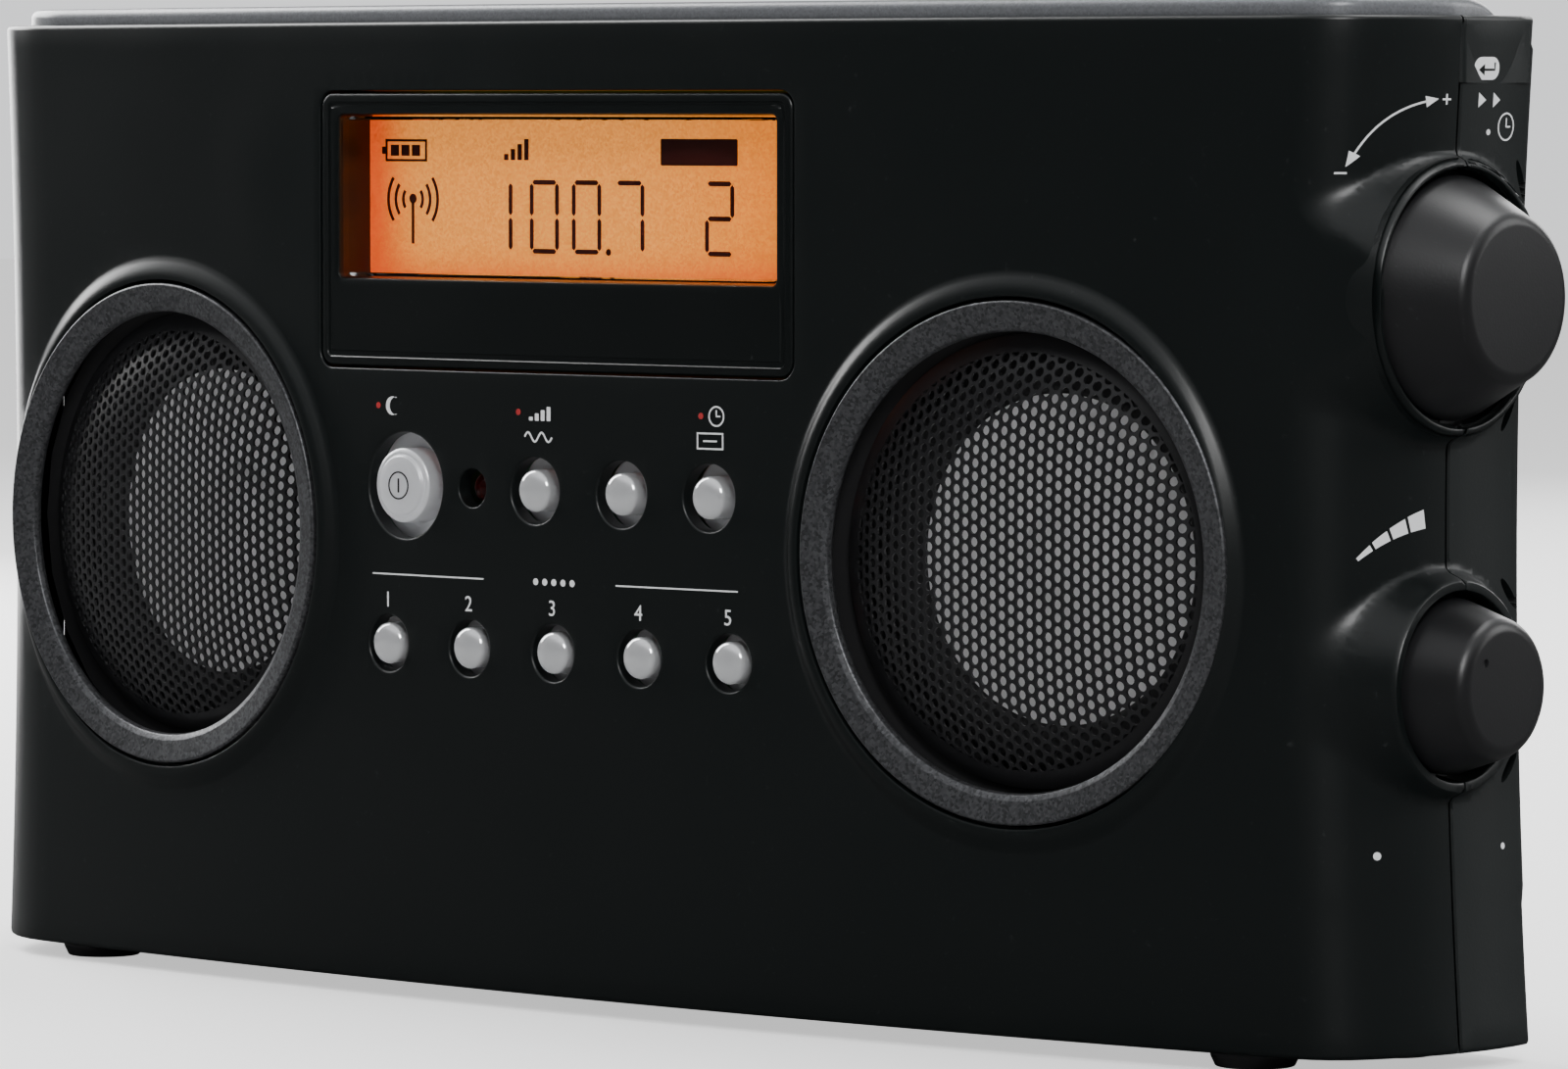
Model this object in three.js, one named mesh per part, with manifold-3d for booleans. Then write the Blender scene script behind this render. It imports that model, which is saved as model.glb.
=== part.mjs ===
// Portable two-speaker tabletop radio, in millimetres.
// +X is to the right seen from the front, +Y runs from the front face to the back, +Z is up.
// Pieces are laid out with X = 0 midway between the speakers, Y = 0 at the foremost point of the bowed
// front and Z = 0 at the casing's underside. The finished group is then moved so that the origin is at the
// centre of the whole object's base.
import * as THREE from "three";
import { mergeVertices } from "three/addons/utils/BufferGeometryUtils.js";
import Module from "manifold-3d";

const wasm = await Module();
wasm.setup();

// ---- Driving dimensions -----------------------------------------------------------------------------

const GAP = 0.3; // between pieces that touch
const RUNNING = 0.2; // radial play of telescoping tubes

const CASE_HEIGHT = 155;
const WALL = 2.5;
const TOP_WALL = 5.4; // carries the handle's channel
const BOW_RADIUS = 1100; // the front face bows forward in plan
const LEFT_CORNER_START = 128; // how far the front face runs to the left of the middle
const LEFT_CORNER_RADIUS = 25;
const RIGHT_CORNER_START = 143.1; // and to the right
const RIGHT_CORNER_RADIUS = 12;
const RIGHT_CORNER_END = 63; // degrees turned where the corner meets the right side
const SIDE_RADIUS = 52; // the right side is itself an arc in plan
const SIDE_END = 103;
const SIDE_DEPTH_LEFT = 54; // where the left side meets the back
const BACK_DEPTH = 66; // the back's furthest point
const SEAM_DEPTH = 32; // plane where the front and rear shells meet
const WAIST_RIGHT = 3; // how far the sides pull in at mid height
const WAIST_LEFT = 2.1;
const WAIST_REACH = 45; // length of side over which the waist fades in

const SPEAKER_SPACING = 93; // from the middle
const SPEAKER_HEIGHT = 72.3;
const RING_OUTER = 39.9;
const RING_WIDTH = 4.9;
const RING_INNER = RING_OUTER - RING_WIDTH;
const RING_PROUD = 1.34;
const RING_RECESS = 1.6;
const BEZEL_OUTER = RING_OUTER + 4.2;
const BEZEL_PROUD = 1.15;
const GRILLE_THICKNESS = 0.8;
const GRILLE_CROWN = 0.6; // how far the grille's middle stands proud of the face
const GRILLE_RIM_DEPTH = 5;
const BASKET_DEPTH = 26;
const CONE_RADIUS = RING_INNER - 9;
const CONE_DEPTH = 15;
const MAGNET_RADIUS = 22;
const MAGNET_LENGTH = 13;

const PANEL = { left: -53.2, right: 50.3, low: 99.5, high: 143.6, corner: 2.5, thick: 2.2 };
const WINDOW = { left: -49, right: 47, low: 113.7, high: 140.1, corner: 1 };
const WELL_DEPTH = 8.2; // from the face down to the liquid crystal cell
const WELL_WALL = 1.4;
const LENS_DEPTH = 0.7;
const LENS_THICKNESS = 1.2;
const LCD_THICKNESS = 4;

const BUTTON_TRAVEL = 1;
const BUTTON_CROWN = 0.9; // dome above its cylinder
const BUTTON_FLANGE = 1.2;
const PRESET_HEIGHT = 54.8;
const PRESET_PITCH = 18.68;
const PRESET_RADIUS = 3.35;
const PRESET_WELL = 4.5;
const KEY_ROW_HEIGHT = 80.45;
const FUNCTION_PLACES = [-3.9, 14.9, 33.3];
const FUNCTION_RADIUS = 3.4;
const FUNCTION_WELL = 5.25;
const POWER_PLACE = -33.4;
const POWER_RADIUS = 6;
const POWER_WELL = 8.5;
const LED_PLACE = -17.9;
const LED_RADIUS = 2.5;
const LED_HOLE = 3;

const KNOB_DEPTH = 31; // both knobs' axes, behind the foremost point of the front
const BOSS_RIM = 158; // plane of both knob wells' rims
const TUNING = { height: 113, base: 18.3, face: 12.2, basePlane: 157.2, facePlane: 168.2, rim: 20.2 };
const VOLUME = { height: 55.1, base: 13.2, face: 10.1, basePlane: 157.1, facePlane: 166.4, rim: 15.8 };
const KNOB_SKIRT = 3.4; // straight skirt behind the cone, inside the well
const KNOB_CLEARANCE = 1.1; // well wall to knob skirt
const PUSH_TRAVEL = 0.8; // the tuning knob also presses in
const SHAFT_RADIUS = 3;
const BUSHING_RADIUS = 5;
const CONTROL_BODY = 14; // square body of the encoder and the potentiometer
const CONTROL_LENGTH = 7;

const HANDLE_WIDTH = 8;
const HANDLE_HEIGHT = 5.4;
const HANDLE_PROUD = 2.7;
const HANDLE_INSET = 1.5;
const HANDLE_INSET_LEFT = 5.5;
const HANDLE_END = 36; // depth at which the arms stop being level
const PIVOT_DEPTH = 40;
const PIVOT_HEIGHT = 150.4;
const EYE_RADIUS = 3.9;
const PIN_RADIUS = 1.3;
const PIN_REACH = 3; // into the shell on an arm's inner side
const PIN_TIP = 0.25; // and on its outer side, where the wall is thin

const AERIAL_HEIGHT = 146;
const AERIAL_X = -136;
const REBATE_FLOOR = 136; // the back's top edge is stepped in from side to side for the aerial
const REBATE_DEPTH = 52.5;
const AERIAL_DEPTH = 57.5;
const AERIAL_RADII = [3.2, 2.55, 1.9, 1.25];
const AERIAL_TUBE = 172;
const AERIAL_STEP = 3; // how much further each inner tube reaches than the one round it
const HUB_RADIUS = 5.4;

const CELL_RADIUS = 13.1;
const CELL_LENGTH = 48.4;
const CELL_NUB = 1.5;
const CELL_ROW_PITCH = 27.4;
const BAY = { half: 51.5, low: 15.6, high: 69.8, floor: 33.9, wall: 1.4 };

const FOOT_RADIUS = 7;
const FOOT_DROP = 2.5;
const FOOT_POCKET = 1;
const FEET = { front_left: [-122, 17], front_right: [130, 17], rear_left: [-128, 45], rear_right: [136, 43] };
const SCREWS = { 1: [-138, 14], 2: [-138, 124], 3: [142, 14], 4: [142, 127] };
const SCREW_HEAD = 3.2;
const SCREW_SHANK = 1.5;
const SCREW_HEAD_DEPTH = 3.2; // how far the head is sunk in the back
const SCREW_END = 22; // depth of the screws' tips
const POST_RADIUS = 4.4;

const JACK_DEPTH = 43;
const JACKS = { headphone_jack: [98, 2.9, 1.8], line_jack: [80, 2.9, 1.8], power_jack: [60, 4, 2.8] };
const JACK_BODY = 10;

// ---- Solid helpers ----------------------------------------------------------------------------------

// A three.js geometry as a solid that can be joined and cut.
function solid(geometry) {
  const bare = geometry.index ? geometry.toNonIndexed() : geometry.clone();
  bare.deleteAttribute("normal");
  bare.deleteAttribute("uv");
  const merged = mergeVertices(bare, 1e-4);
  return new wasm.Manifold(
    new wasm.Mesh({
      numProp: 3,
      vertProperties: merged.attributes.position.array,
      triVerts: new Uint32Array(merged.index.array),
    }),
  );
}

// A solid back as a three.js geometry.
function geometryOf(body) {
  const mesh = body.getMesh();
  const geometry = new THREE.BufferGeometry();
  geometry.setAttribute("position", new THREE.BufferAttribute(new Float32Array(mesh.vertProperties), 3));
  geometry.setIndex(new THREE.BufferAttribute(new Uint32Array(mesh.triVerts), 1));
  return geometry;
}

const joined = (first, ...others) => others.reduce((sum, next) => sum.add(next), first);
const cut = (first, ...others) => others.reduce((rest, next) => rest.subtract(next), first);

// A block between two corners.
function block(low, high) {
  const size = high.map((value, i) => value - low[i]);
  const geometry = new THREE.BoxGeometry(...size);
  return solid(geometry.translate(...high.map((value, i) => (value + low[i]) / 2)));
}

// A round bar along an axis, from one coordinate on it to another, at the other two coordinates.
function bar(axis, radius, from, to, across, segments = 20) {
  const geometry = new THREE.CylinderGeometry(radius, radius, to - from, segments);
  const middle = (from + to) / 2;
  if (axis === "x") geometry.rotateZ(-Math.PI / 2).translate(middle, across[0], across[1]);
  if (axis === "y") geometry.translate(across[0], middle, across[1]);
  if (axis === "z") geometry.rotateX(Math.PI / 2).translate(across[0], across[1], middle);
  return solid(geometry);
}

// A profile of [radius, place along the axis] points turned about +Y, walked so that its faces point out.
function lathe(points, segments) {
  const profile = points.map(([radius, along]) => new THREE.Vector2(radius, along));
  if (THREE.ShapeUtils.area(profile) < 0) profile.reverse();
  return new THREE.LatheGeometry(profile, segments);
}

const turned = (points, segments = 36) => solid(lathe(points, segments));

// The same, with its axis along +X through a point of the YZ plane.
function turnedAlongX(points, depth, height, segments = 36) {
  return solid(lathe(points, segments).rotateZ(-Math.PI / 2).translate(0, depth, height));
}

// A plan outline raised from one height to another, in as many steps.
function raised(shape, low, high, steps = 1, curveSegments = 12) {
  const options = { depth: high - low, steps, bevelEnabled: false, curveSegments };
  return new THREE.ExtrudeGeometry(shape, options).translate(0, 0, low);
}

// A rectangle of the front with rounded corners, as a bar along Y between two depths.
function frontBar({ left, right, low, high, corner }, margin, from, to) {
  const shape = new THREE.Shape();
  const round = Math.max(corner + margin, 0.2);
  const [x0, x1, z0, z1] = [left - margin, right + margin, low - margin, high + margin];
  shape.moveTo(x0 + round, -z0);
  shape.lineTo(x1 - round, -z0);
  shape.absarc(x1 - round, -z0 - round, round, Math.PI / 2, 0, true);
  shape.lineTo(x1, -z1 + round);
  shape.absarc(x1 - round, -z1 + round, round, 0, -Math.PI / 2, true);
  shape.lineTo(x0 + round, -z1);
  shape.absarc(x0 + round, -z1 + round, round, -Math.PI / 2, -Math.PI, true);
  shape.lineTo(x0, -z0 - round);
  shape.absarc(x0 + round, -z0 - round, round, Math.PI, Math.PI / 2, true);
  const options = { depth: to - from, bevelEnabled: false, curveSegments: 3 };
  // Drawn on X and minus Z, so that turning it up sends the extrusion along +Y.
  return solid(new THREE.ExtrudeGeometry(shape, options).rotateX(-Math.PI / 2).translate(0, from, 0));
}

// ---- Plan of the casing -----------------------------------------------------------------------------

const radians = THREE.MathUtils.degToRad;
const bow = (x) => BOW_RADIUS - Math.sqrt(BOW_RADIUS ** 2 - x ** 2);

// Points of an arc walked from a place, with the heading turning from one angle to another.
function walkArc(points, radius, fromHeading, toHeading, count) {
  const [x, y] = points.at(-1);
  for (let i = 1; i <= count; i++) {
    const heading = fromHeading + ((toHeading - fromHeading) * i) / count;
    const dx = radius * (Math.sin(heading) - Math.sin(fromHeading));
    const dy = radius * (Math.cos(fromHeading) - Math.cos(heading));
    points.push([x + dx, y + dy]);
  }
}

// Right half of the plan from the front's middle to where the side meets the back.
function rightEnd(inset) {
  const turn = Math.asin(RIGHT_CORNER_START / BOW_RADIUS);
  const points = [[0, inset]];
  const corner = Math.max(RIGHT_CORNER_RADIUS - inset, 1);
  walkArc(points, BOW_RADIUS - inset, 0, turn, 7);
  walkArc(points, corner, turn, radians(RIGHT_CORNER_END), 5);
  walkArc(points, SIDE_RADIUS - inset, radians(RIGHT_CORNER_END), radians(SIDE_END), 6);
  return points;
}

// Left half, from the front's middle leftwards to where the side meets the back.
function leftEnd(inset, sideInset = inset) {
  const turn = Math.asin(LEFT_CORNER_START / BOW_RADIUS);
  const points = [[0, inset]];
  walkArc(points, BOW_RADIUS - inset, 0, turn, 7);
  walkArc(points, LEFT_CORNER_RADIUS - inset, turn, Math.PI / 2, 7);
  const shift = sideInset - inset;
  points.push([points.at(-1)[0], SIDE_DEPTH_LEFT]);
  return points.map(([x, y]) => [-x + (x > LEFT_CORNER_START / 2 ? shift : 0), y]);
}

// The back bows out between the two rear edges.
function backDepth(x, inset = 0) {
  const left = leftEnd(0).pop();
  const right = rightEnd(0).pop();
  const half = (right[0] - left[0]) / 2;
  const middle = (right[0] + left[0]) / 2;
  const along = (x - middle) / half;
  const edge = left[1] + ((right[1] - left[1]) * (along + 1)) / 2;
  return edge + (BACK_DEPTH - (left[1] + right[1]) / 2) * (1 - along ** 2) - inset;
}

// The casing's plan, brought in by an inset.
function casingPlan(inset) {
  const ahead = ([x, y]) => y < backDepth(x, inset) - 1;
  const right = rightEnd(inset).filter(ahead);
  const left = leftEnd(inset).filter(ahead);
  const from = right.at(-1)[0];
  const to = left.at(-1)[0];
  const steps = 12;
  const back = Array.from({ length: steps + 1 }, (_, i) => {
    const x = from + ((to - from) * i) / steps;
    return [x, backDepth(x, inset)];
  });
  const outline = [...right, ...back, ...left.reverse()];
  outline.pop();
  return new THREE.Shape(outline.map(([x, y]) => new THREE.Vector2(x, y)));
}

// Pulls the two sides in at mid height.
function waisted(geometry) {
  const place = geometry.attributes.position;
  const fade = (reach) => THREE.MathUtils.smoothstep(reach, 0, WAIST_REACH);
  for (let i = 0; i < place.count; i++) {
    const x = place.getX(i);
    const level = (place.getZ(i) - CASE_HEIGHT / 2) / (CASE_HEIGHT / 2);
    const pull = 1 - Math.min(level ** 2, 1);
    const right = WAIST_RIGHT * fade(x - (RIGHT_CORNER_START - WAIST_REACH + 5));
    const left = WAIST_LEFT * fade(-x - (LEFT_CORNER_START - WAIST_REACH + 15));
    place.setX(i, x - pull * right + pull * left);
  }
  return geometry;
}

// ---- Materials --------------------------------------------------------------------------------------

const finish = (color, roughness, metalness = 0, extra = {}) =>
  new THREE.MeshStandardMaterial({ color, roughness, metalness, ...extra });
const BLACK_CASE = finish(0x141416, 0.45);
const GREY_HANDLE = finish(0x8d8f93, 0.4);
const GUNMETAL = finish(0x3c3c40, 0.45, 0.8);
const CHROME = finish(0xd8dade, 0.12, 1);
const BRIGHT_STEEL = finish(0xb9bbbf, 0.25, 1);
const PAPER = finish(0x9a9a9a, 0.9);
const MAGNET_STEEL = finish(0x5a5c60, 0.5, 0.9);
const AMBER = finish(0xff8a1e, 0.5);
const CLEAR = finish(0xffffff, 0.05, 0, { transparent: true, opacity: 0.25 });
const BOARD = finish(0x1f5a34, 0.6);
const BLACK_PLASTIC = finish(0x101012, 0.5);
const RUBBER = finish(0x18181a, 0.9);
const RED_LENS = finish(0x801818, 0.3);
const CELL_JACKET = finish(0x3b6f9a, 0.4);
const FERRITE = finish(0x2b2b2d, 0.7);

const radio = new THREE.Group();

// Adds a solid to a group as a named piece.
function piece(name, body, material, parent = radio) {
  const mesh = new THREE.Mesh(geometryOf(body), material);
  mesh.name = name;
  parent.add(mesh);
  return mesh;
}

// ---- Places shared by the casing and what it carries ------------------------------------------------

const presetPlaces = [0, 1, 2, 3, 4].map((i) => (i - 2) * PRESET_PITCH);

// A speaker's own frame: its origin on the front face, +Y into the casing along the face's normal.
function speakerFrame(side) {
  const x = side * SPEAKER_SPACING;
  const frame = new THREE.Matrix4().makeRotationZ(Math.asin(x / BOW_RADIUS));
  return frame.setPosition(x, bow(x), SPEAKER_HEIGHT);
}

const intoFrame = (body, matrix) => solid(geometryOf(body).applyMatrix4(matrix));

// Handle plan: a band that follows the casing's front and ends, open at the back.
function handleBand(margin) {
  const outerRight = rightEnd(HANDLE_INSET - margin);
  const innerRight = rightEnd(HANDLE_INSET + HANDLE_WIDTH + margin);
  const outerLeft = leftEnd(HANDLE_INSET - margin, HANDLE_INSET_LEFT - margin);
  const reach = HANDLE_WIDTH + margin;
  const innerLeft = leftEnd(HANDLE_INSET + reach, HANDLE_INSET_LEFT + reach);
  innerRight.shift();
  outerLeft.shift();
  const loop = [...outerLeft.reverse(), ...outerRight, ...innerRight.reverse(), ...innerLeft];
  return new THREE.Shape(loop.map(([x, y]) => new THREE.Vector2(x, y)));
}

const armStart = HANDLE_END - 3; // depth where the band gives way to a straight arm

// Where each arm's eye lies, from the same band: inside it all the way from the arm's start to the pivot.
function armSpan(side) {
  const edges = side > 0 ? [rightEnd, rightEnd] : [leftEnd, leftEnd];
  const insets = side > 0 ? [HANDLE_INSET, HANDLE_INSET] : [HANDLE_INSET, HANDLE_INSET_LEFT];
  const at = (points, depth) => {
    const next = points.findIndex(([, y]) => y >= depth);
    const [[xa, ya], [xb, yb]] = [points[next - 1], points[next]];
    return xa + ((xb - xa) * (depth - ya)) / (yb - ya);
  };
  const outer = at(edges[0](insets[0], insets[1]), armStart);
  const inner = at(edges[1](insets[0] + HANDLE_WIDTH, insets[1] + HANDLE_WIDTH), PIVOT_DEPTH);
  return outer < inner ? [outer, inner] : [inner, outer];
}

function pinSpan(side) {
  const [low, high] = armSpan(side);
  return side > 0 ? [low - PIN_REACH, high + PIN_TIP] : [low - PIN_TIP, high + PIN_REACH];
}

const handleTop = CASE_HEIGHT + HANDLE_PROUD;
const channelFloor = handleTop - HANDLE_HEIGHT - GAP;

// ---- Casing -----------------------------------------------------------------------------------------

const BOSS_FLARE = [0, 3, 8, 13, 18]; // distance behind the rim
const BOSS_SPREAD = [0, 0.8, 2.3, 4.2, 6.4]; // how much wider the boss is there
const wellRadius = (knob) => knob.base + KNOB_CLEARANCE;
const wellFloor = (knob) => knob.basePlane - KNOB_SKIRT - PUSH_TRAVEL - GAP;

// The trumpet-shaped boss round a knob's well, before its well is cut.
function boss(knob) {
  const flare = BOSS_FLARE.map((back, i) => [knob.rim + BOSS_SPREAD[i], BOSS_RIM - back]);
  const points = [[0, BOSS_RIM], ...flare, [0, BOSS_RIM - BOSS_FLARE.at(-1)]];
  return turnedAlongX(points, KNOB_DEPTH, knob.height, 32);
}

function knobWell(knob) {
  const across = [KNOB_DEPTH, knob.height];
  return joined(
    bar("x", wellRadius(knob), wellFloor(knob), BOSS_RIM + 10, across, 32),
    bar("x", SHAFT_RADIUS + GAP, BOSS_RIM - 30, BOSS_RIM, across),
  );
}

// Ahead of the bowed front there is nothing: this trims what stands out of it.
function aheadOfFront() {
  const span = 200;
  const points = [new THREE.Vector2(-span, -80)];
  const steps = 20;
  for (let i = 0; i <= steps; i++) {
    const x = -span + (2 * span * i) / steps;
    points.push(new THREE.Vector2(x, bow(x)));
  }
  points.push(new THREE.Vector2(span, -80));
  return solid(raised(new THREE.Shape(points.reverse()), -20, CASE_HEIGHT + 20));
}

function casingSkin() {
  const steps = 6;
  const outer = solid(waisted(raised(casingPlan(0), 0, CASE_HEIGHT, steps)));
  const inner = solid(waisted(raised(casingPlan(WALL), WALL, CASE_HEIGHT - TOP_WALL, steps)));
  const lid = solid(raised(casingPlan(WALL + HANDLE_INSET + HANDLE_WIDTH + 4), 100, CASE_HEIGHT - WALL));
  const knobs = [TUNING, VOLUME];
  const bosses = knobs.map((knob) => boss(knob).subtract(aheadOfFront()));
  const bossFloor = (knob) => wellFloor(knob) - WALL;
  const hollows = knobs.map((knob) =>
    bar("x", wellRadius(knob) + 6, 100, bossFloor(knob), [KNOB_DEPTH, knob.height], 32),
  );
  const cavity = cut(joined(inner, lid), ...knobs.map((knob) => keep(knob, bossFloor(knob))));
  return cut(joined(outer, ...bosses), joined(cavity, ...hollows.map((h) => h.intersect(inner))));
}

// Material that stays behind each well's floor.
function keep(knob, floor) {
  return bar("x", knob.rim, floor, BOSS_RIM + 10, [KNOB_DEPTH, knob.height], 32);
}

// Speaker seat and raised bezel, in a speaker's own frame.
function speakerBezel() {
  return turned([
    [RING_INNER, 5.4],
    [BEZEL_OUTER - 2, 5.4],
    [BEZEL_OUTER - 2, 1.4],
    [BEZEL_OUTER, 0.9],
    [BEZEL_OUTER, 0.1],
    [RING_OUTER + 1.6, -BEZEL_PROUD],
    [RING_INNER, -BEZEL_PROUD],
    [RING_INNER, 5.4],
  ], 32);
}

const speakerHole = () =>
  joined(
    bar("y", RING_OUTER + GAP, -9, RING_RECESS + GAP, [0, 0], 32),
    bar("y", RING_INNER + 2, -9, 9, [0, 0], 32),
  );

function screwWork() {
  const posts = Object.values(SCREWS).map(([x, z]) =>
    bar("y", POST_RADIUS, 4 + bow(x), backDepth(x) - 1, [x, z], 16),
  );
  const holes = Object.values(SCREWS).map(([x, z]) =>
    joined(
      bar("y", SCREW_SHANK + GAP, SCREW_END - 2, backDepth(x) + 5, [x, z], 12),
      bar("y", SCREW_HEAD + GAP, backDepth(x) - SCREW_HEAD_DEPTH - 2, backDepth(x) + 5, [x, z], 16),
    ),
  );
  return { posts, holes };
}

function handleWork() {
  const channel = solid(raised(handleBand(GAP), channelFloor, CASE_HEIGHT + 10));
  const ahead = block([-200, -50, channelFloor - 1], [200, HANDLE_END + 2, CASE_HEIGHT + 20]);
  const blocks = [];
  const pockets = [channel.intersect(ahead)];
  for (const side of [-1, 1]) {
    const [low, high] = armSpan(side);
    const floor = PIVOT_HEIGHT - EYE_RADIUS - 0.8;
    const rear = PIVOT_DEPTH + (handleTop - PIVOT_HEIGHT) + 0.8;
    const nearest = [low - PIN_REACH - 1, SEAM_DEPTH, floor - 2];
    blocks.push(block(nearest, [high + PIN_REACH + 1, rear + 2, CASE_HEIGHT - 1]));
    pockets.push(block([low - GAP, HANDLE_END - 3.7, floor], [high + GAP, rear, CASE_HEIGHT + 20]));
    const [start, end] = pinSpan(side);
    pockets.push(bar("x", PIN_RADIUS + GAP, start - GAP, end + GAP, [PIVOT_DEPTH, PIVOT_HEIGHT], 12));
  }
  return { blocks, pockets };
}

function footPockets() {
  return Object.values(FEET).map(([x, y]) => bar("z", FOOT_RADIUS + GAP, -9, FOOT_POCKET, [x, y], 20));
}

// Outer wall of the left side at a height, where the waist has pulled it in.
function leftSide(height) {
  const level = (height - CASE_HEIGHT / 2) / (CASE_HEIGHT / 2);
  return leftEnd(0).at(-1)[0] + WAIST_LEFT * (1 - level ** 2);
}

function jackHoles() {
  return Object.values(JACKS).map(([z, radius]) => bar("x", radius + GAP, -180, -130, [JACK_DEPTH, z], 16));
}

const bayOpening = (margin) =>
  block([-BAY.half - margin, BAY.floor, BAY.low - margin], [BAY.half + margin, 90, BAY.high + margin]);

function rebate(margin) {
  return block([-180, REBATE_DEPTH - margin, REBATE_FLOOR - margin], [180, 100, CASE_HEIGHT + 9]);
}

function buildCasing() {
  const frames = [-1, 1].map(speakerFrame);
  const { posts, holes } = screwWork();
  const handle = handleWork();
  const plan = solid(waisted(raised(casingPlan(0.4), 0.4, CASE_HEIGHT - 0.4, 6)));
  const step = rebate(WALL).subtract(rebate(0)).intersect(plan);
  const inside = joined(posts[0], ...posts.slice(1), ...handle.blocks).intersect(plan);
  let casing = joined(casingSkin(), ...frames.map((m) => intoFrame(speakerBezel(), m)), inside, step);
  const presets = presetPlaces.map((x) => bar("y", PRESET_WELL, -9, 9, [x, PRESET_HEIGHT], 16));
  const functions = FUNCTION_PLACES.map((x) => bar("y", FUNCTION_WELL, -9, 9, [x, KEY_ROW_HEIGHT], 16));
  casing = cut(
    casing,
    ...frames.map((m) => intoFrame(speakerHole(), m)),
    ...[TUNING, VOLUME].map(knobWell),
    ...holes,
    ...handle.pockets,
    ...footPockets(),
    ...jackHoles(),
    rebate(0),
    bar("y", 4 + GAP, REBATE_DEPTH - 6, 90, [AERIAL_X, AERIAL_HEIGHT], 20),
    bayOpening(GAP),
    frontBar(PANEL, GAP, -9, 12),
    ...presets,
    ...functions,
    bar("y", POWER_WELL, -9, 9, [POWER_PLACE, KEY_ROW_HEIGHT], 20),
    bar("y", LED_HOLE, -9, 9, [LED_PLACE, KEY_ROW_HEIGHT], 16),
  );
  const front = block([-300, -90, -90], [300, SEAM_DEPTH - GAP / 2, 300]);
  const rear = block([-300, SEAM_DEPTH + GAP / 2, -90], [300, 200, 300]);
  const largest = (body) => body.decompose().sort((a, b) => b.volume() - a.volume())[0];
  piece("front_shell", largest(casing.intersect(front)), BLACK_CASE);
  piece("rear_shell", largest(casing.intersect(rear)), BLACK_CASE);
}

// ---- Speakers ---------------------------------------------------------------------------------------

// Depth of the grille's outer surface at a radius: nearly flat in the middle, falling away at the rim.
const grilleDepth = (radius) =>
  -GRILLE_CROWN + (GRILLE_CROWN + GRILLE_RIM_DEPTH) * (radius / RING_INNER) ** 4;

function buildSpeaker(side, name) {
  const group = new THREE.Group();
  speakerFrame(side).decompose(group.position, group.quaternion, group.scale);
  radio.add(group);
  const ringBack = RING_RECESS;
  const ring = turned([
    [RING_INNER + 0.4, ringBack],
    [RING_OUTER, ringBack],
    [RING_OUTER, -RING_PROUD + 0.4],
    [RING_OUTER - 0.5, -RING_PROUD],
    [RING_INNER + 1, -RING_PROUD + 0.7],
    [RING_INNER, -RING_PROUD + 1.5],
    [RING_INNER + 0.4, ringBack],
  ], 32);
  piece("speaker_ring_" + name, ring, GUNMETAL, group);

  const radii = [0, 0.57, 0.8, 0.91].map((share) => share * RING_INNER);
  radii.push(RING_INNER - GAP);
  const outer = radii.map((radius) => [radius, grilleDepth(radius)]);
  const inner = radii.map((radius) => [radius, grilleDepth(radius) + GRILLE_THICKNESS]);
  const grille = turned([...inner, ...outer.reverse()], 28);
  piece("speaker_grille_" + name, grille, BLACK_CASE, group);

  const seat = 5.4 + GAP;
  const basket = turned([
    [MAGNET_RADIUS - 6, BASKET_DEPTH],
    [MAGNET_RADIUS, BASKET_DEPTH],
    [RING_INNER + 0.5, seat + 5],
    [RING_INNER + 0.5, seat + 2],
    [RING_INNER + 4, seat + 2],
    [RING_INNER + 4, seat],
    [RING_INNER - 1, seat + 0.8],
    [RING_INNER - 1, seat + 4],
    [MAGNET_RADIUS - 2, BASKET_DEPTH - 2],
    [MAGNET_RADIUS - 6, BASKET_DEPTH - 2],
    [MAGNET_RADIUS - 6, BASKET_DEPTH],
  ], 24);
  piece("speaker_basket_" + name, basket, BLACK_PLASTIC, group);

  const cone = turned([
    [0, CONE_DEPTH + 6.5],
    [8, CONE_DEPTH + 6.5],
    [CONE_RADIUS, CONE_DEPTH - 2],
    [RING_INNER - 1.6, 9.2],
    [RING_INNER - 1.6, 8.4],
    [CONE_RADIUS + 2, 8.2],
    [CONE_RADIUS, CONE_DEPTH - 3.4],
    [11, CONE_DEPTH + 3.6],
    [6, CONE_DEPTH + 1.6],
    [0, CONE_DEPTH + 1],
  ], 24);
  piece("speaker_cone_" + name, cone, PAPER, group);

  const magnetFront = BASKET_DEPTH + GAP;
  const magnet = bar("y", MAGNET_RADIUS, magnetFront, magnetFront + MAGNET_LENGTH, [0, 0], 28);
  piece("speaker_magnet_" + name, magnet, MAGNET_STEEL, group);
}

// ---- Display ----------------------------------------------------------------------------------------

// A slab that follows the bowed front between two depths behind it.
function bowedSlab(from, to) {
  const steps = 14;
  const half = 70;
  const places = Array.from({ length: steps + 1 }, (_, i) => -half + (2 * half * i) / steps);
  const near = places.map((x) => new THREE.Vector2(x, bow(x) + from));
  const far = places.map((x) => new THREE.Vector2(x, bow(x) + to)).reverse();
  return solid(raised(new THREE.Shape([...near, ...far]), 0, CASE_HEIGHT));
}

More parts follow.
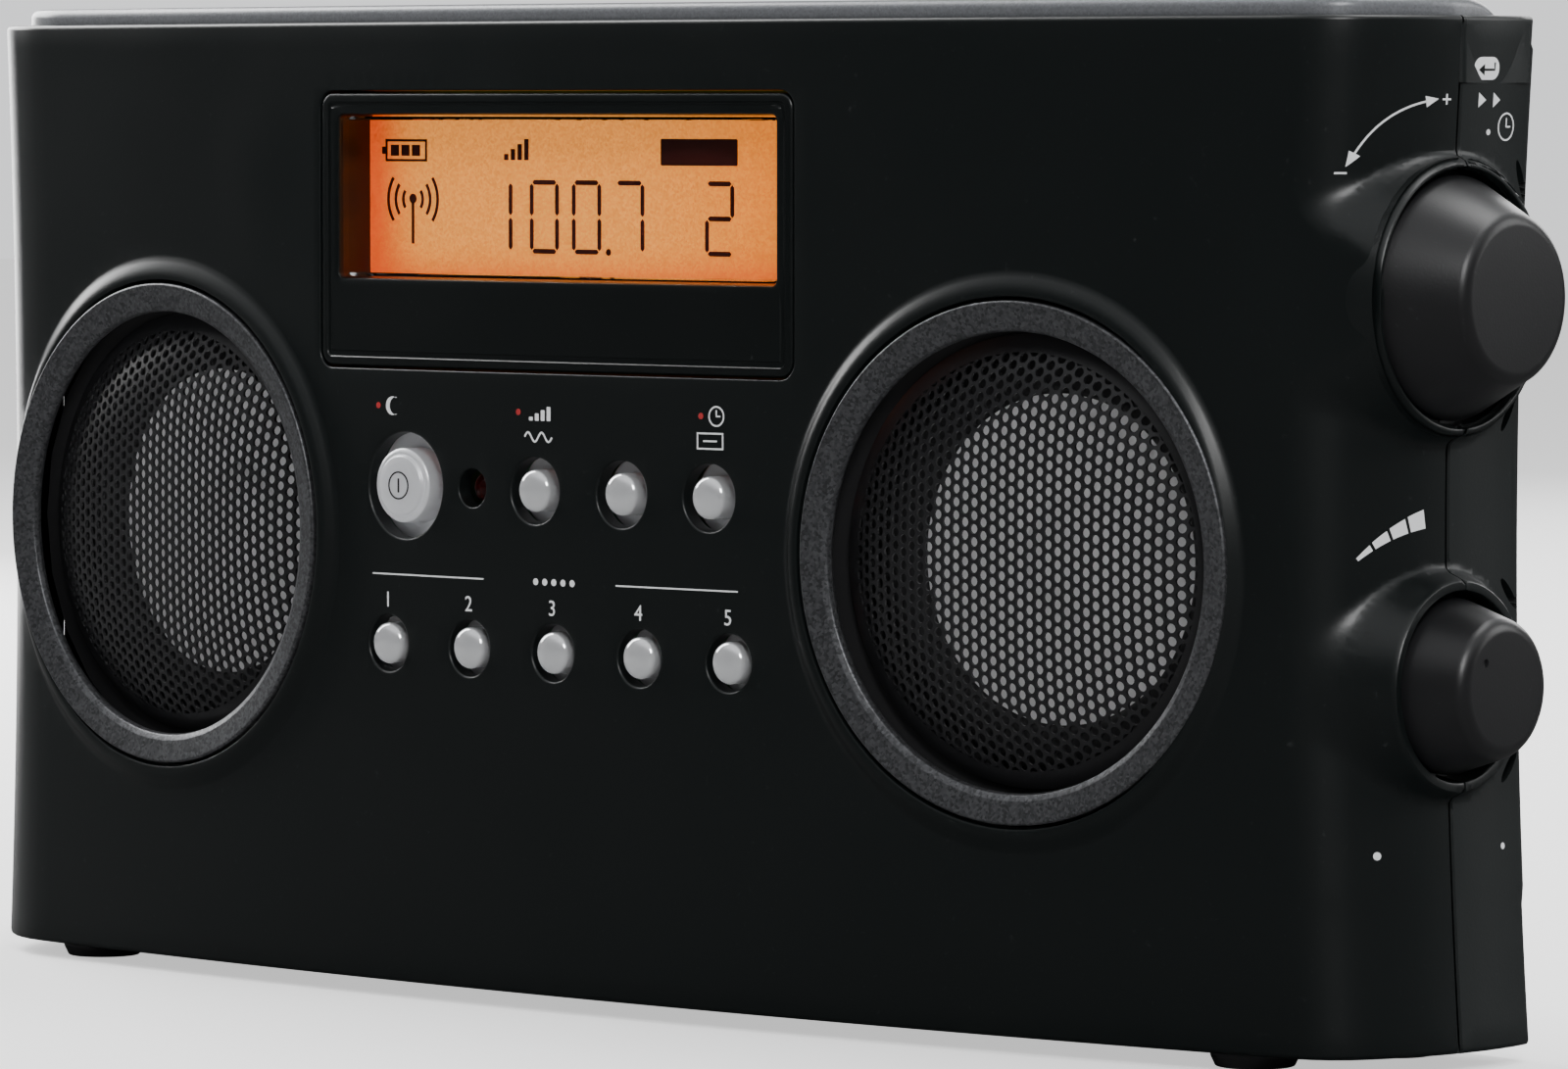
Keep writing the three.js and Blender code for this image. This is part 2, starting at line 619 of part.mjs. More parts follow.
function buildDisplay() {
  const face = frontBar(PANEL, 0, -5, 20).intersect(bowedSlab(0, PANEL.thick));
  const sleeve = frontBar(WINDOW, WELL_WALL, 1, WELL_DEPTH);
  const panel = cut(joined(face, sleeve), frontBar(WINDOW, 0, -9, 20));
  piece("display_panel", panel, BLACK_PLASTIC);
  const lensFit = frontBar(WINDOW, -GAP, -5, 20);
  piece("display_window", lensFit.intersect(bowedSlab(LENS_DEPTH, LENS_DEPTH + LENS_THICKNESS)), CLEAR);
  const lcdFront = WELL_DEPTH + GAP;
  piece("lcd_module", frontBar(WINDOW, WELL_WALL, lcdFront, lcdFront + LCD_THICKNESS), AMBER);
}

// ---- Buttons ----------------------------------------------------------------------------------------

const BUTTON_BOARD_DEPTH = 11.5;
const flangeFront = (x, well) => bow(Math.abs(x) + well) + WALL + GAP;

// Dome, cylinder, retaining flange and stem, turned about Y.
function buildButton(name, x, z, radius, well, proud, material) {
  const face = bow(x);
  const flange = flangeFront(x, well) - face;
  const stemEnd = BUTTON_BOARD_DEPTH - face - BUTTON_TRAVEL - GAP;
  const outline = [
    [0, stemEnd],
    [2, stemEnd],
    [2, flange + BUTTON_FLANGE],
    [well + 0.8, flange + BUTTON_FLANGE],
    [well + 0.8, flange],
    [radius, flange],
    [radius, -proud + BUTTON_CROWN],
    [radius * 0.85, -proud + BUTTON_CROWN * 0.45],
    [radius * 0.5, -proud + BUTTON_CROWN * 0.1],
    [0, -proud],
  ];
  const mesh = piece(name, turned(outline, 16), material);
  mesh.position.set(x, face, z);
}

function buildButtons() {
  presetPlaces.forEach((x, i) =>
    buildButton("preset_button_" + (i + 1), x, PRESET_HEIGHT, PRESET_RADIUS, PRESET_WELL, 1.1, CHROME),
  );
  FUNCTION_PLACES.forEach((x, i) =>
    buildButton("function_button_" + (i + 1), x, KEY_ROW_HEIGHT, FUNCTION_RADIUS, FUNCTION_WELL, 1.1, CHROME),
  );
  buildButton("power_button", POWER_PLACE, KEY_ROW_HEIGHT, POWER_RADIUS, POWER_WELL, 1.5, BRIGHT_STEEL);
  const led = bar("y", LED_RADIUS, 2, BUTTON_BOARD_DEPTH - GAP, [LED_PLACE, KEY_ROW_HEIGHT], 16);
  piece("indicator_led", led, RED_LENS);
}

// ---- Knobs ------------------------------------------------------------------------------------------

function buildKnob(knob, names, material) {
  const across = [KNOB_DEPTH, knob.height];
  const back = knob.basePlane - KNOB_SKIRT;
  const { base, face, basePlane, facePlane } = knob;
  const outline = [
    [0, back],
    [base - 0.4, back],
    [base, back + 0.4],
    [base, basePlane],
    [face + 0.9, facePlane - 1],
    [face, facePlane - 0.25],
    [face - 1.2, facePlane],
    [0, facePlane],
  ];
  const boreEnd = facePlane - 4;
  const knobBody = turnedAlongX(outline, KNOB_DEPTH, knob.height, 32);
  const bore = bar("x", SHAFT_RADIUS + GAP, back - 5, boreEnd, across);
  piece(names.knob, cut(knobBody, bore), material);

  const floor = wellFloor(knob) - WALL;
  const bodyBack = floor - GAP - 5 - CONTROL_LENGTH;
  const half = CONTROL_BODY / 2;
  const body = joined(
    block(
      [bodyBack, KNOB_DEPTH - half, knob.height - half],
      [bodyBack + CONTROL_LENGTH, KNOB_DEPTH + half, knob.height + half],
    ),
    bar("x", BUSHING_RADIUS, bodyBack + 1, floor - GAP, across),
  );
  const inside = bar("x", SHAFT_RADIUS + GAP, bodyBack + 1, floor + 5, across);
  piece(names.body, cut(body, inside), MAGNET_STEEL);
  const shaftBack = bodyBack + 1 + PUSH_TRAVEL + GAP;
  piece(names.shaft, bar("x", SHAFT_RADIUS, shaftBack, boreEnd - GAP, across), BRIGHT_STEEL);
}

// ---- Carry handle -----------------------------------------------------------------------------------

function buildHandle() {
  const band = solid(raised(handleBand(0), handleTop - HANDLE_HEIGHT, handleTop));
  let handle = band.intersect(block([-200, -50, 0], [200, HANDLE_END, 300]));
  for (const side of [-1, 1]) {
    const [low, high] = armSpan(side);
    const drop = new THREE.Shape();
    drop.moveTo(armStart, handleTop - HANDLE_HEIGHT);
    drop.lineTo(armStart, handleTop);
    drop.quadraticCurveTo(PIVOT_DEPTH + EYE_RADIUS, handleTop, PIVOT_DEPTH + EYE_RADIUS, PIVOT_HEIGHT);
    drop.absarc(PIVOT_DEPTH, PIVOT_HEIGHT, EYE_RADIUS, 0, -Math.PI, true);
    drop.closePath();
    const settings = { depth: high - low, bevelEnabled: false, curveSegments: 6 };
    const geometry = new THREE.ExtrudeGeometry(drop, settings);
    // The side view is drawn with Y across and Z up, then set between the arm's two faces.
    const stand = new THREE.Matrix4().set(0, 0, 1, low, 1, 0, 0, 0, 0, 1, 0, 0, 0, 0, 0, 1);
    handle = handle.add(solid(geometry.applyMatrix4(stand)));
  }
  const spans = [-1, 1].map(armSpan);
  for (const [low, high] of spans) {
    handle = handle.subtract(bar("x", PIN_RADIUS + GAP, low - 2, high + 2, [PIVOT_DEPTH, PIVOT_HEIGHT], 12));
  }
  piece("carry_handle", handle, GREY_HANDLE);
  ["left", "right"].forEach((name, i) => {
    const pin = bar("x", PIN_RADIUS, ...pinSpan(i ? 1 : -1), [PIVOT_DEPTH, PIVOT_HEIGHT], 12);
    piece("handle_pin_" + name, pin, BRIGHT_STEEL);
  });
}

// ---- Telescopic aerial ------------------------------------------------------------------------------

function buildAerial() {
  const post = [AERIAL_X, AERIAL_HEIGHT];
  const washerFront = REBATE_DEPTH + GAP;
  const hub = joined(
    bar("y", HUB_RADIUS, washerFront, washerFront + 1.2, post, 24),
    bar("y", 4, REBATE_DEPTH - 5, washerFront + 1, post, 20),
    ...[-4.6, 2].map((low) =>
      block(
        [AERIAL_X - 3.6, washerFront, AERIAL_HEIGHT + low],
        [AERIAL_X + 3.6, AERIAL_DEPTH + 3, AERIAL_HEIGHT + low + 2.6],
      ),
    ),
  );
  piece("aerial_base", hub, CHROME);
  const across = [AERIAL_DEPTH, AERIAL_HEIGHT];
  const elbowEnd = AERIAL_X + 12;
  const elbow = joined(
    bar("z", 2.8, AERIAL_HEIGHT - 1.7, AERIAL_HEIGHT + 1.7, [AERIAL_X, AERIAL_DEPTH], 20),
    block(
      [AERIAL_X, AERIAL_DEPTH - 1.6, AERIAL_HEIGHT - 1.7],
      [AERIAL_X + 6, AERIAL_DEPTH + 1.6, AERIAL_HEIGHT + 1.7],
    ),
    bar("x", AERIAL_RADII[0], AERIAL_X + 5.4, elbowEnd, across, 16),
  );
  piece("aerial_elbow", elbow, CHROME);
  AERIAL_RADII.forEach((radius, i) => {
    const start = elbowEnd + GAP + i * 1.5;
    const end = elbowEnd + AERIAL_TUBE + i * AERIAL_STEP;
    let tube = bar("x", radius, start, end, across, 16);
    const next = AERIAL_RADII[i + 1];
    if (next) tube = cut(tube, bar("x", next + RUNNING, start + 1, end + 1, across, 16));
    else tube = joined(tube, bar("x", AERIAL_RADII[1], end - 0.5, end + 5, across, 16));
    piece("aerial_section_" + (i + 1), tube, CHROME);
  });
}

// ---- Power and electronics --------------------------------------------------------------------------

function buildBattery() {
  const { half, low, high, floor, wall } = BAY;
  const rearLimit = backDepth(half) - WALL - GAP;
  const side = half + wall + GAP;
  const outside = block([-side, floor - wall, low - wall - GAP], [side, rearLimit, high + wall + GAP]);
  const inside = block([-half, floor, low], [half, 100, high]);
  piece("battery_box", cut(outside, inside), BLACK_PLASTIC);
  const midHeight = (low + high) / 2;
  const depth = floor + GAP + CELL_RADIUS;
  [0, 1, 2, 3].forEach((i) => {
    const start = i % 2 ? 0.4 : -half + 1;
    const height = midHeight + (i < 2 ? -0.5 : 0.5) * CELL_ROW_PITCH;
    const outline = [
      [0, start],
      [CELL_RADIUS - 0.5, start],
      [CELL_RADIUS, start + 0.5],
      [CELL_RADIUS, start + CELL_LENGTH - 0.5],
      [CELL_RADIUS - 0.5, start + CELL_LENGTH],
      [3, start + CELL_LENGTH],
      [3, start + CELL_LENGTH + CELL_NUB],
      [0, start + CELL_LENGTH + CELL_NUB],
    ];
    piece("battery_" + (i + 1), turnedAlongX(outline, depth, height, 16), CELL_JACKET);
  });
  const outer = solid(raised(casingPlan(0), 1, CASE_HEIGHT - 1));
  const skin = outer.subtract(solid(raised(casingPlan(WALL), 0, CASE_HEIGHT)));
  piece("battery_door", skin.intersect(bayOpening(0)), BLACK_CASE);
}

function buildElectronics() {
  const boardDepth = WELL_DEPTH + LCD_THICKNESS + 3;
  piece("main_board", block([-55, boardDepth, 96], [55, boardDepth + 1.6, 146]), BOARD);
  piece("button_board", block([-48, BUTTON_BOARD_DEPTH, 46], [46, BUTTON_BOARD_DEPTH + 1.6, 92]), BOARD);
  piece("ferrite_rod", bar("x", 5, -60, 60, [42, 126], 16), FERRITE);
  for (const [name, [z, radius, hole]] of Object.entries(JACKS)) {
    const mouth = leftSide(z) + 0.4;
    const inner = mouth + WALL + GAP;
    const half = JACK_BODY / 2;
    const body = joined(
      bar("x", radius, mouth, inner + 1, [JACK_DEPTH, z], 16),
      block([inner, JACK_DEPTH - half, z - half], [inner + 13, JACK_DEPTH + half, z + half]),
    );
    piece(name, cut(body, bar("x", hole, mouth - 1, inner + 11, [JACK_DEPTH, z], 14)), BLACK_PLASTIC);
  }
}

// ---- Feet and screws --------------------------------------------------------------------------------

function buildFeetAndScrews() {
  for (const [name, [x, y]] of Object.entries(FEET)) {
    const top = FOOT_POCKET - GAP;
    const outline = [[0, -FOOT_DROP], [FOOT_RADIUS - 1, -FOOT_DROP], [FOOT_RADIUS, top], [0, top]];
    piece("foot_" + name, solid(lathe(outline, 20).rotateX(Math.PI / 2).translate(x, y, 0)), RUBBER);
  }
  for (const [name, [x, z]] of Object.entries(SCREWS)) {
    const headBack = backDepth(x) - SCREW_HEAD_DEPTH;
    const screw = joined(
      bar("y", SCREW_HEAD, headBack - 1.7, headBack, [x, z], 16),
      bar("y", SCREW_SHANK, SCREW_END, headBack - 1, [x, z], 12),
    );
    piece("rear_screw_" + name, cut(screw, crossSlot(x, headBack, z)), BRIGHT_STEEL);
  }
}

function crossSlot(x, back, z) {
  const [long, narrow, deep] = [1.8, 0.4, 0.9];
  return joined(
    block([x - long, back - deep, z - narrow], [x + long, back + 1, z + narrow]),
    block([x - narrow, back - deep, z - long], [x + narrow, back + 1, z + long]),
  );
}

// ---- Assembly ---------------------------------------------------------------------------------------

buildCasing();
buildSpeaker(-1, "left");
buildSpeaker(1, "right");
buildDisplay();
buildButtons();
buildKnob(TUNING, { knob: "tuning_knob", body: "tuning_encoder", shaft: "tuning_shaft" }, BLACK_CASE);
buildKnob(VOLUME, { knob: "volume_knob", body: "volume_pot", shaft: "volume_shaft" }, BLACK_CASE);
buildHandle();
buildAerial();
buildBattery();
buildElectronics();
buildFeetAndScrews();

radio.updateMatrixWorld(true);
const whole = new THREE.Box3().setFromObject(radio, true);
const centre = whole.getCenter(new THREE.Vector3());
radio.position.set(-centre.x, -centre.y, -whole.min.z);

export default radio;
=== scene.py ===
"""Portable two-speaker table radio: its detailed pieces, built round the CAD frame.

Sizes in the code are millimetres in the layout frame: X from the middle of the front, Y from its foremost
point towards the back, Z from the casing's underside. at() turns them into metres in the part's own frame.
"""
import math

import bmesh
import bpy
from bpy.props import FloatProperty, FloatVectorProperty, PointerProperty
from mathutils import Matrix, Vector
from mathutils.geometry import delaunay_2d_cdt


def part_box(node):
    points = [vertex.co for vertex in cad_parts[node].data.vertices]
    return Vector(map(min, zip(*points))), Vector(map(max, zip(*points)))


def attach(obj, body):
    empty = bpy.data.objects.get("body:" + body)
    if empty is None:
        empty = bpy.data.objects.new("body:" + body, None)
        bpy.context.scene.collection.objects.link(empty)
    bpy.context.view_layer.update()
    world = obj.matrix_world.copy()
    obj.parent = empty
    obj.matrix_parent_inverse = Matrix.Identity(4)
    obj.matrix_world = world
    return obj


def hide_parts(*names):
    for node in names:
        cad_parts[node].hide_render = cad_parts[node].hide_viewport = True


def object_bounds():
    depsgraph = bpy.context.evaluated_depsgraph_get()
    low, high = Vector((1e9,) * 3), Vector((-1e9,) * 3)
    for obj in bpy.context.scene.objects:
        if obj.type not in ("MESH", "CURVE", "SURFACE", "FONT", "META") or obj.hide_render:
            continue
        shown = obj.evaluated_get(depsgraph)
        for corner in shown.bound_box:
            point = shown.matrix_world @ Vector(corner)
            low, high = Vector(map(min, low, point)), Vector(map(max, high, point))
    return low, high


bl_info = {
    "name": "Table Radio Builder",
    "version": (1, 0, 0),
    "blender": (4, 5, 0),
    "location": "3D View > Sidebar > Radio",
    "description": "Builds the detailed pieces of a portable two-speaker table radio",
    "category": "Object",
}

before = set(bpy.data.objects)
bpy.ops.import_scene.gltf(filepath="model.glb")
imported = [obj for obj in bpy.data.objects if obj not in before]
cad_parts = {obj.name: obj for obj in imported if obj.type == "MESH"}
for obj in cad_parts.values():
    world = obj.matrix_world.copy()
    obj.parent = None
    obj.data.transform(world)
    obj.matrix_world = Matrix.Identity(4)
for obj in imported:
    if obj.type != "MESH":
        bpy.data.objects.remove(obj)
CAD_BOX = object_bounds()

# ---- Places taken from the frame ----


def middle(node):
    low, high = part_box(node)
    return [(a + b) / 2 for a, b in zip(low, high)]


ORIGIN = Vector((
    (middle("speaker_ring_left")[0] + middle("speaker_ring_right")[0]) / 2,
    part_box("display_panel")[0][1],
    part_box("front_shell")[0][2],
))


def at(x, y, z):
    """A layout place in millimetres as metres in the part's frame."""
    return ORIGIN + Vector((x, y, z)) / 1000


def layout(node):
    """A node's box in layout millimetres."""
    low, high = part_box(node)
    return (Vector(low) - ORIGIN) * 1000, (Vector(high) - ORIGIN) * 1000


def centre(node):
    """The middle of a node's box in layout millimetres."""
    low, high = layout(node)
    return [(a + b) / 2 for a, b in zip(low, high)]


# ---- Sizes, in millimetres ----

CASE_HEIGHT = 155.0
BOW_RADIUS = 1100.0
LEFT_CORNER = (128.0, 25.0)
RIGHT_CORNER = (143.1, 12.0, 63.0)
RIGHT_SIDE = (52.0, 103.0)
LEFT_SIDE_DEPTH = 54.0
BACK_DEPTH = 66.0
SEAM = 32.0
WAIST = {"right": (3.0, 103.1), "left": (2.1, 98.0), "fade": 45.0}
SPEAKER_X = 93.0
SPEAKER_Z = 72.3
KNOB_Y = 31.0
TUNING = {"z": 113.0, "rim": 20.2, "base": 18.3, "face": 12.2, "plane": 157.2, "tip": 168.2}
VOLUME = {"z": 55.1, "rim": 15.8, "base": 13.2, "face": 10.1, "plane": 157.1, "tip": 166.4}
KNOB_SKIRT = 3.4
WELL_GAP = 1.1
BOSS_RIM = 158.0
BOSS = [(0.0, 0.0), (0.8, 3.0), (2.3, 8.0), (4.2, 13.0), (6.4, 18.0)]
PRESETS = [(i - 2) * 18.68 for i in range(5)]
PRESET_Z = 54.8
KEY_Z = 80.45
FUNCTIONS = [-3.9, 14.9, 33.3]
POWER_X = -33.4
LED_X = -17.9
REBATE = (52.5, 136.0)
PIN_REACH = (3.0, 0.25)  # of the handle's pins beyond an arm's inner and outer side
PANEL = (-53.2, 50.3, 99.5, 143.6, 2.5)
WINDOW = (-49.0, 47.0, 113.7, 140.1, 1.0)
HANDLE = {"inset": 1.5, "left": 5.5, "width": 8.0, "top": 157.7, "low": 152.3, "end": 36.0,
          "pivot": (40.0, 150.4)}


class RadioSizes(bpy.types.PropertyGroup):
    """What a user would change on the radio."""

    hole_pitch: FloatProperty(
        name="Hole pitch", description="Distance between neighbouring grille holes",
        default=0.0020, unit="LENGTH")
    hole_width: FloatProperty(
        name="Hole width", description="Diameter of a grille hole",
        default=0.00152, unit="LENGTH")
    seam_groove: FloatProperty(
        name="Seam groove", description="Depth of the chamfer along the seam between the shells",
        default=0.00028, unit="LENGTH")
    mark_thickness: FloatProperty(
        name="Mark thickness", description="Thickness of the printed marks",
        default=0.00004, unit="LENGTH")
    rib_pitch: FloatProperty(
        name="Rib pitch", description="Distance between the grip ribs on the battery door",
        default=0.0020, unit="LENGTH")


class RadioColours(bpy.types.PropertyGroup):
    """Colours of the radio's finishes."""

    case: FloatVectorProperty(
        name="Case", description="Moulded shells", subtype="COLOR", size=3, default=(0.0040, 0.0058, 0.0058))
    knob: FloatVectorProperty(
        name="Knobs", description="Moulded knobs", subtype="COLOR", size=3, default=(0.0085, 0.0087, 0.0095))
    handle: FloatVectorProperty(
        name="Handle", description="Carry handle", subtype="COLOR", size=3, default=(0.135, 0.140, 0.150))
    ring: FloatVectorProperty(
        name="Speaker ring", description="Speaker trim rings", subtype="COLOR", size=3,
        default=(0.050, 0.051, 0.054))
    glow: FloatVectorProperty(
        name="Display glow", description="Lit display", subtype="COLOR", size=3, default=(1.0, 0.25, 0.014))
    marks: FloatVectorProperty(
        name="Marks", description="Printed marks", subtype="COLOR", size=3, default=(0.78, 0.79, 0.80))


# ---- Plan of the casing ----


def bow(x):
    return BOW_RADIUS - math.sqrt(BOW_RADIUS ** 2 - x * x)


def arc_points(start, radius, turn_from, turn_to, count):
    """Points along an arc walked from a place, its heading turning between two angles."""
    x, y = start
    for i in range(1, count + 1):
        turn = turn_from + (turn_to - turn_from) * i / count
        yield (x + radius * (math.sin(turn) - math.sin(turn_from)),
               y + radius * (math.cos(turn_from) - math.cos(turn)))


def right_half(inset=0.0):
    start, corner, corner_end = RIGHT_CORNER
    side, side_end = RIGHT_SIDE
    first = math.asin(start / BOW_RADIUS)
    points = [(0.0, inset)]
    points += arc_points(points[-1], BOW_RADIUS - inset, 0, first, 90)
    points += arc_points(points[-1], max(corner - inset, 1.0), first, math.radians(corner_end), 24)
    points += arc_points(points[-1], side - inset, math.radians(corner_end), math.radians(side_end), 60)
    return points


def left_half(inset=0.0, side_inset=None):
    start, corner = LEFT_CORNER
    first = math.asin(start / BOW_RADIUS)
    points = [(0.0, inset)]
    points += arc_points(points[-1], BOW_RADIUS - inset, 0, first, 80)
    points += arc_points(points[-1], corner - inset, first, math.pi / 2, 48)
    last = points[-1]
    points += [(last[0], last[1] + (LEFT_SIDE_DEPTH - last[1]) * i / 30) for i in range(1, 31)]
    shift = 0 if side_inset is None else side_inset - inset
    reach = lambda x: shift * smooth((x - start / 2) / (start / 2))
    return [(-x + reach(x), y) for x, y in points]


def smooth(t):
    t = min(max(t, 0.0), 1.0)
    return t * t * (3 - 2 * t)


RIGHT_EDGE = right_half()[-1]
LEFT_EDGE = left_half()[-1]


def back_depth(x):
    half = (RIGHT_EDGE[0] - LEFT_EDGE[0]) / 2
    along = (x - (RIGHT_EDGE[0] + LEFT_EDGE[0]) / 2) / half
    edge = LEFT_EDGE[1] + (RIGHT_EDGE[1] - LEFT_EDGE[1]) * (along + 1) / 2
    return edge + (BACK_DEPTH - (LEFT_EDGE[1] + RIGHT_EDGE[1]) / 2) * (1 - along ** 2)


def rounded_path(points, corners, radius):
    """A polyline with the named corners replaced by short curves."""
    result = []
    for i, point in enumerate(points):
        if i not in corners:
            result.append(point)
            continue
        here = Vector(point)
        before = (Vector(points[i - 1]) - here).normalized() * radius
        after = (Vector(points[i + 1]) - here).normalized() * radius
        for k in range(9):
            t = k / 8
            result.append(tuple((here + before) * (1 - t) ** 2 + here * 2 * t * (1 - t) + (here
                          + after) * t * t))
    return result


class Plan:
    """The casing's plan as a path walked from the front's middle, rightwards and round the back."""

    def __init__(self):
        right = right_half()
        left = left_half()
        steps = 160
        span = LEFT_EDGE[0] - RIGHT_EDGE[0]
        back = [(RIGHT_EDGE[0] + span * i / steps, 0) for i in range(1, steps)]
        back = [(x, back_depth(x)) for x, _ in back]
        edge = 2.0
        near = lambda p, q: math.dist(p, q) < edge * 1.02
        right_side = [p for p in right if not near(p, RIGHT_EDGE) or p == RIGHT_EDGE]
        left_side = [p for p in left if not near(p, LEFT_EDGE) or p == LEFT_EDGE]
        back = [p for p in back if not near(p, RIGHT_EDGE) and not near(p, LEFT_EDGE)]
        loop = right_side + back + left_side[::-1]
        corners = {len(right_side) - 1, len(right_side) + len(back)}
        self.points = rounded_path(loop, corners, edge)
        self.along = [0.0]
        for a, b in zip(self.points, self.points[1:]):
            self.along.append(self.along[-1] + math.dist(a, b))
        self.length = self.along[-1]
        self.normals = []
        count = len(self.points)
        for i in range(count):
            a = self.points[i - 1] if i else self.points[-2]
            b = self.points[i + 1] if i + 1 < count else self.points[1]
            step = Vector((b[0] - a[0], b[1] - a[1])).normalized()
            self.normals.append((step.y, -step.x))

    def find(self, s):
        s %= self.length
        low, high = 0, len(self.along) - 1
        while high - low > 1:
            mid = (low + high) // 2
            if self.along[mid] <= s:
                low = mid
            else:
                high = mid
        t = (s - self.along[low]) / max(self.along[high] - self.along[low], 1e-9)
        mix = lambda p, q: (p[0] + (q[0] - p[0]) * t, p[1] + (q[1] - p[1]) * t)
        return mix(self.points[low], self.points[high]), mix(self.normals[low], self.normals[high])

    def seek(self, test, start, end):
        """Where along the path a test on the place turns true, between two distances."""
        for _ in range(50):
            mid = (start + end) / 2
            if test(self.find(mid)[0]):
                end = mid
            else:
                start = mid
        return (start + end) / 2


PLAN = Plan()
SEAM_RIGHT = PLAN.seek(lambda p: p[1] > SEAM, PLAN.along[95], PLAN.along[170])
RIGHT_REAR = PLAN.seek(lambda p: p[1] > 49, SEAM_RIGHT, PLAN.along[172])
SEAM_LEFT = PLAN.seek(lambda p: p[1] < SEAM, PLAN.length - 175, PLAN.length - 145)


def front_along(x):
    """Distance along the plan of a place on the front face, negative to the left."""
    return BOW_RADIUS * math.asin(x / BOW_RADIUS)


def back_along(x):
    """Distance along the plan of a place on the back."""
    return PLAN.seek(lambda p: p[0] < x, RIGHT_REAR + 3, SEAM_LEFT - 24)


def side_along(y):
    """Distance along the plan of a depth on the right side."""
    return PLAN.seek(lambda p: p[1] > y, front_along(RIGHT_CORNER[0]), RIGHT_REAR)


def interpolate(table, value):
    for (a, fa), (b, fb) in zip(table, table[1:]):
        if value <= b:
            return fa + (fb - fa) * max(value - a, 0) / (b - a)
    (a, fa), (b, fb) = table[-2:]
    return fb + (fb - fa) * (value - b) / (b - a)


def smooth_max(a, b, reach):
    overlap = max(reach - abs(a - b), 0) / reach
    return max(a, b) + overlap * overlap * reach / 4


def boss_plane(knob, away):
    """How far right the boss round a knob reaches, at a distance from the knob's axis."""
    past = away - knob["rim"]
    lip = 0.45
    wall = knob["base"] + WELL_GAP
    if past > 0:
        return BOSS_RIM - interpolate(BOSS, past) - 0.28 * math.exp(-past / 0.35)
    floor = knob["plane"] - KNOB_SKIRT - 1.1
    if away < wall - 0.1:
        return floor
    if away < wall:
        return floor + (BOSS_RIM - lip - floor) * (away - wall + 0.1) / 0.1
    crown = min((away - wall) / lip, (knob["rim"] - away) / lip, 1.0)
    return BOSS_RIM - 0.28 * (1 - math.sqrt(max(1 - (1 - crown) ** 2, 0)))


def waisted(x, z):
    level = (z - CASE_HEIGHT / 2) / (CASE_HEIGHT / 2)
    pull = 1 - min(level * level, 1)
    depth_right, from_right = WAIST["right"]
    depth_left, from_left = WAIST["left"]
    x -= pull * depth_right * smooth((x - from_right) / WAIST["fade"])
    return x + pull * depth_left * smooth((-x - from_left) / WAIST["fade"])


EDGE = 0.8  # rounding along the top and bottom edges
SEAM_GAP = 0.17  # from the seam to each shell's edge


def on_case(s, v, depth=0.0):
    """Layout place on the casing: s along its plan, v up it, depth in from its surface."""
    (x, y), (nx, ny) = PLAN.find(s)
    z = v
    if v < EDGE:
        turn = math.pi / 2 * (1 - v / EDGE)
        depth += EDGE * (1 - math.cos(turn))
        z = EDGE - EDGE * math.sin(turn)
    if v > CASE_HEIGHT - EDGE:
        turn = math.pi / 2 * (1 - (CASE_HEIGHT - v) / EDGE)
        depth += EDGE * (1 - math.cos(turn))
        z = CASE_HEIGHT - EDGE + EDGE * math.sin(turn)
    base = waisted(x, z)
    corner = front_along(RIGHT_CORNER[0])
    ahead = smooth((s - corner + 9) / 9) if s < corner else 1.0
    if ahead > 0 and s < RIGHT_REAR + 1:
        reach_y = y if s >= corner else PLAN.find(corner)[0][1]
        edge_base = base if s >= corner else waisted(PLAN.find(corner)[0][0], z)
        raised = edge_base
        inside = None
        for knob in (TUNING, VOLUME):
            away = math.hypot(reach_y - KNOB_Y, z - knob["z"])
            if away < knob["rim"]:
                inside = boss_plane(knob, away)
            elif away < knob["rim"] + 18:
                raised = smooth_max(raised, boss_plane(knob, away), 4.0)
        if inside is not None:
            raised = inside
        shift = (raised - edge_base) * ahead
        base += shift
        if shift > 0.3:
            flat = 1 - smooth((reach_y - 9.3) / 2.2)
            y += 0.12 * shift * flat * ahead
    return Vector((base - nx * depth, y - ny * depth, z))


# ---- Sheets with holes, lips and raised rims ----


